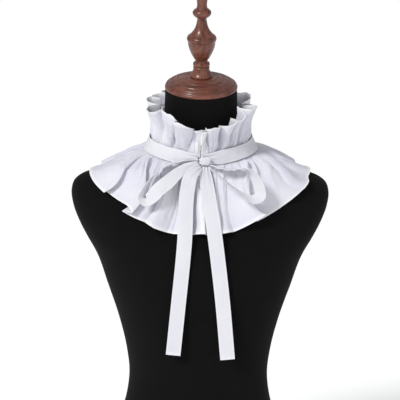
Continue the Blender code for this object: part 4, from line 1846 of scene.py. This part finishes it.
@dataclass(frozen=True)
class View:
    """The photograph's camera: how far away, how high it looks from, its roll and the height of its target.

    The scale is the size of one pixel at the target, in metres, and the picture's width is pixels.
    """

    distance: float = 2.5
    elevation: float = 7.0
    roll: float = 0.6
    scale: float = 0.00155
    height: float = 0.473
    picture: int = 400
    sensor: float = 36.0

    def camera(self) -> bpy.types.Object:
        """The camera, which looks at the neck's plane from the front.

        Returns:
            The camera.
        """
        data = bpy.data.cameras.new("camera")
        data.sensor_width = self.sensor
        data.angle = 2 * math.atan(self.picture / 2 * self.scale / self.distance)
        made = bpy.data.objects.new("camera", data)
        elevation, roll = math.radians(self.elevation), math.radians(self.roll)
        away = Vector((0, -math.cos(elevation), math.sin(elevation)))
        level = Vector((1, 0, 0))
        upright = away.cross(level)
        right = level * math.cos(roll) + upright * math.sin(roll)
        up = upright * math.cos(roll) - level * math.sin(roll)
        eye = Vector((0, 0, self.height)) + away * self.distance
        made.matrix_world = Matrix([*zip(right, up, away, eye), (0, 0, 0, 1)])
        bpy.context.scene.collection.objects.link(made)
        bpy.context.scene.camera = made
        return made


@dataclass(frozen=True)
class Softbox:
    """One far soft light: the direction that it shines from, its width in degrees and its strength."""

    name: str
    place: tuple[float, float, float]
    width: float
    strength: float


SOFTBOXES = (
    Softbox("key", (-0.80, -1.0, 0.86), 14.0, 1.90),
    Softbox("fill", (1.2, -0.8, 0.5), 40.0, 0.20),
)


@dataclass(frozen=True)
class Studio:
    """A plain pale floor and plain soft light.

    The floor glows a little, as in a white studio that throws its light back. The camera sees a white
    backdrop, and everything else is lit by the slightly blue room.
    """

    floor_reach: float = 30.0
    floor_tone: float = 0.95
    floor_glow: float = 0.30
    backdrop: float = 1.0
    room: Colour = (0.97, 0.98, 1.0)
    room_strength: float = 0.42
    softboxes: tuple[Softbox, ...] = SOFTBOXES

    def floor(self) -> bpy.types.Object:
        """The floor, a wide square at the object's foot.

        Returns:
            The floor.
        """
        reach = self.floor_reach
        mesh = bpy.data.meshes.new("floor")
        square = [(-reach, -reach, 0), (reach, -reach, 0), (reach, reach, 0), (-reach, reach, 0)]
        mesh.from_pydata(square, [], [(0, 1, 2, 3)])
        made = bpy.data.objects.new("floor", mesh)
        bpy.context.scene.collection.objects.link(made)
        tone = self.floor_tone
        mesh.materials.append(
            Shader("pale_floor").set(
                Base_Color=(tone, tone, tone, 1),
                Roughness=0.95,
                Specular_IOR_Level=0.1,
                Emission_Color=(1, 1, 1, 1),
                Emission_Strength=self.floor_glow,
            )
        )
        return made

    def air(self) -> None:
        """The light of the room all round, and the white that the camera sees behind the object."""
        world = bpy.data.worlds.new("studio")
        world.use_nodes = True
        nodes = Nodes(world.node_tree)
        white = {"Color": (1, 1, 1, 1), "Strength": self.backdrop}
        seen = nodes.fill(world.node_tree.nodes["Background"], white)
        room = nodes.node("ShaderNodeBackground", Color=(*self.room, 1), Strength=self.room_strength)
        straight = nodes.node("ShaderNodeLightPath").outputs["Is Camera Ray"]
        mix = nodes.node("ShaderNodeMixShader", Fac=straight)
        for number, light in enumerate((room, seen), start=1):
            nodes.tree.links.new(light.outputs["Background"], mix.inputs[number])
        nodes.fill(world.node_tree.nodes["World Output"], {"Surface": mix.outputs["Shader"]})
        bpy.context.scene.world = world
        bpy.context.scene.view_settings.view_transform = "Standard"

    def build(self) -> None:
        """Makes the floor, the light of the room and the softboxes."""
        self.floor()
        self.air()
        for softbox in self.softboxes:
            data = bpy.data.lights.new(softbox.name, "SUN")
            data.angle = math.radians(softbox.width)
            data.energy = softbox.strength
            made = bpy.data.objects.new(softbox.name, data)
            made.location = softbox.place
            made.rotation_euler = (-Vector(softbox.place)).to_track_quat("-Z", "Y").to_euler()
            bpy.context.scene.collection.objects.link(made)


def main() -> None:
    """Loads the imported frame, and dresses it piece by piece."""
    logging.basicConfig(level=logging.INFO)
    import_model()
    View().camera()
    Studio().build()
    weave, streaks = weave_effect(), grain_effect()
    cotton, taffeta = COTTON.material(weave), TAFFETA.material(weave)
    form = FormShape(FORM_SECTIONS)
    display = Display(form, streaks)
    collar = Collar(form, cotton, taffeta)
    lies_on = ("flounce_cloth", "knot_ribbon")
    for make in (
        display.torso,
        display.neck_cap,
        display.top,
        collar.flounce,
        collar.ruffle,
        collar.tie,
        partial(Knot().make, taffeta),
        *(partial(ribbon.make, taffeta, lies_on) for ribbon in BOW),
    ):
        made = make()
        LOG.info("%s: %d faces", made.name, len(made.data.polygons))


if __name__ == "__main__":
    main()
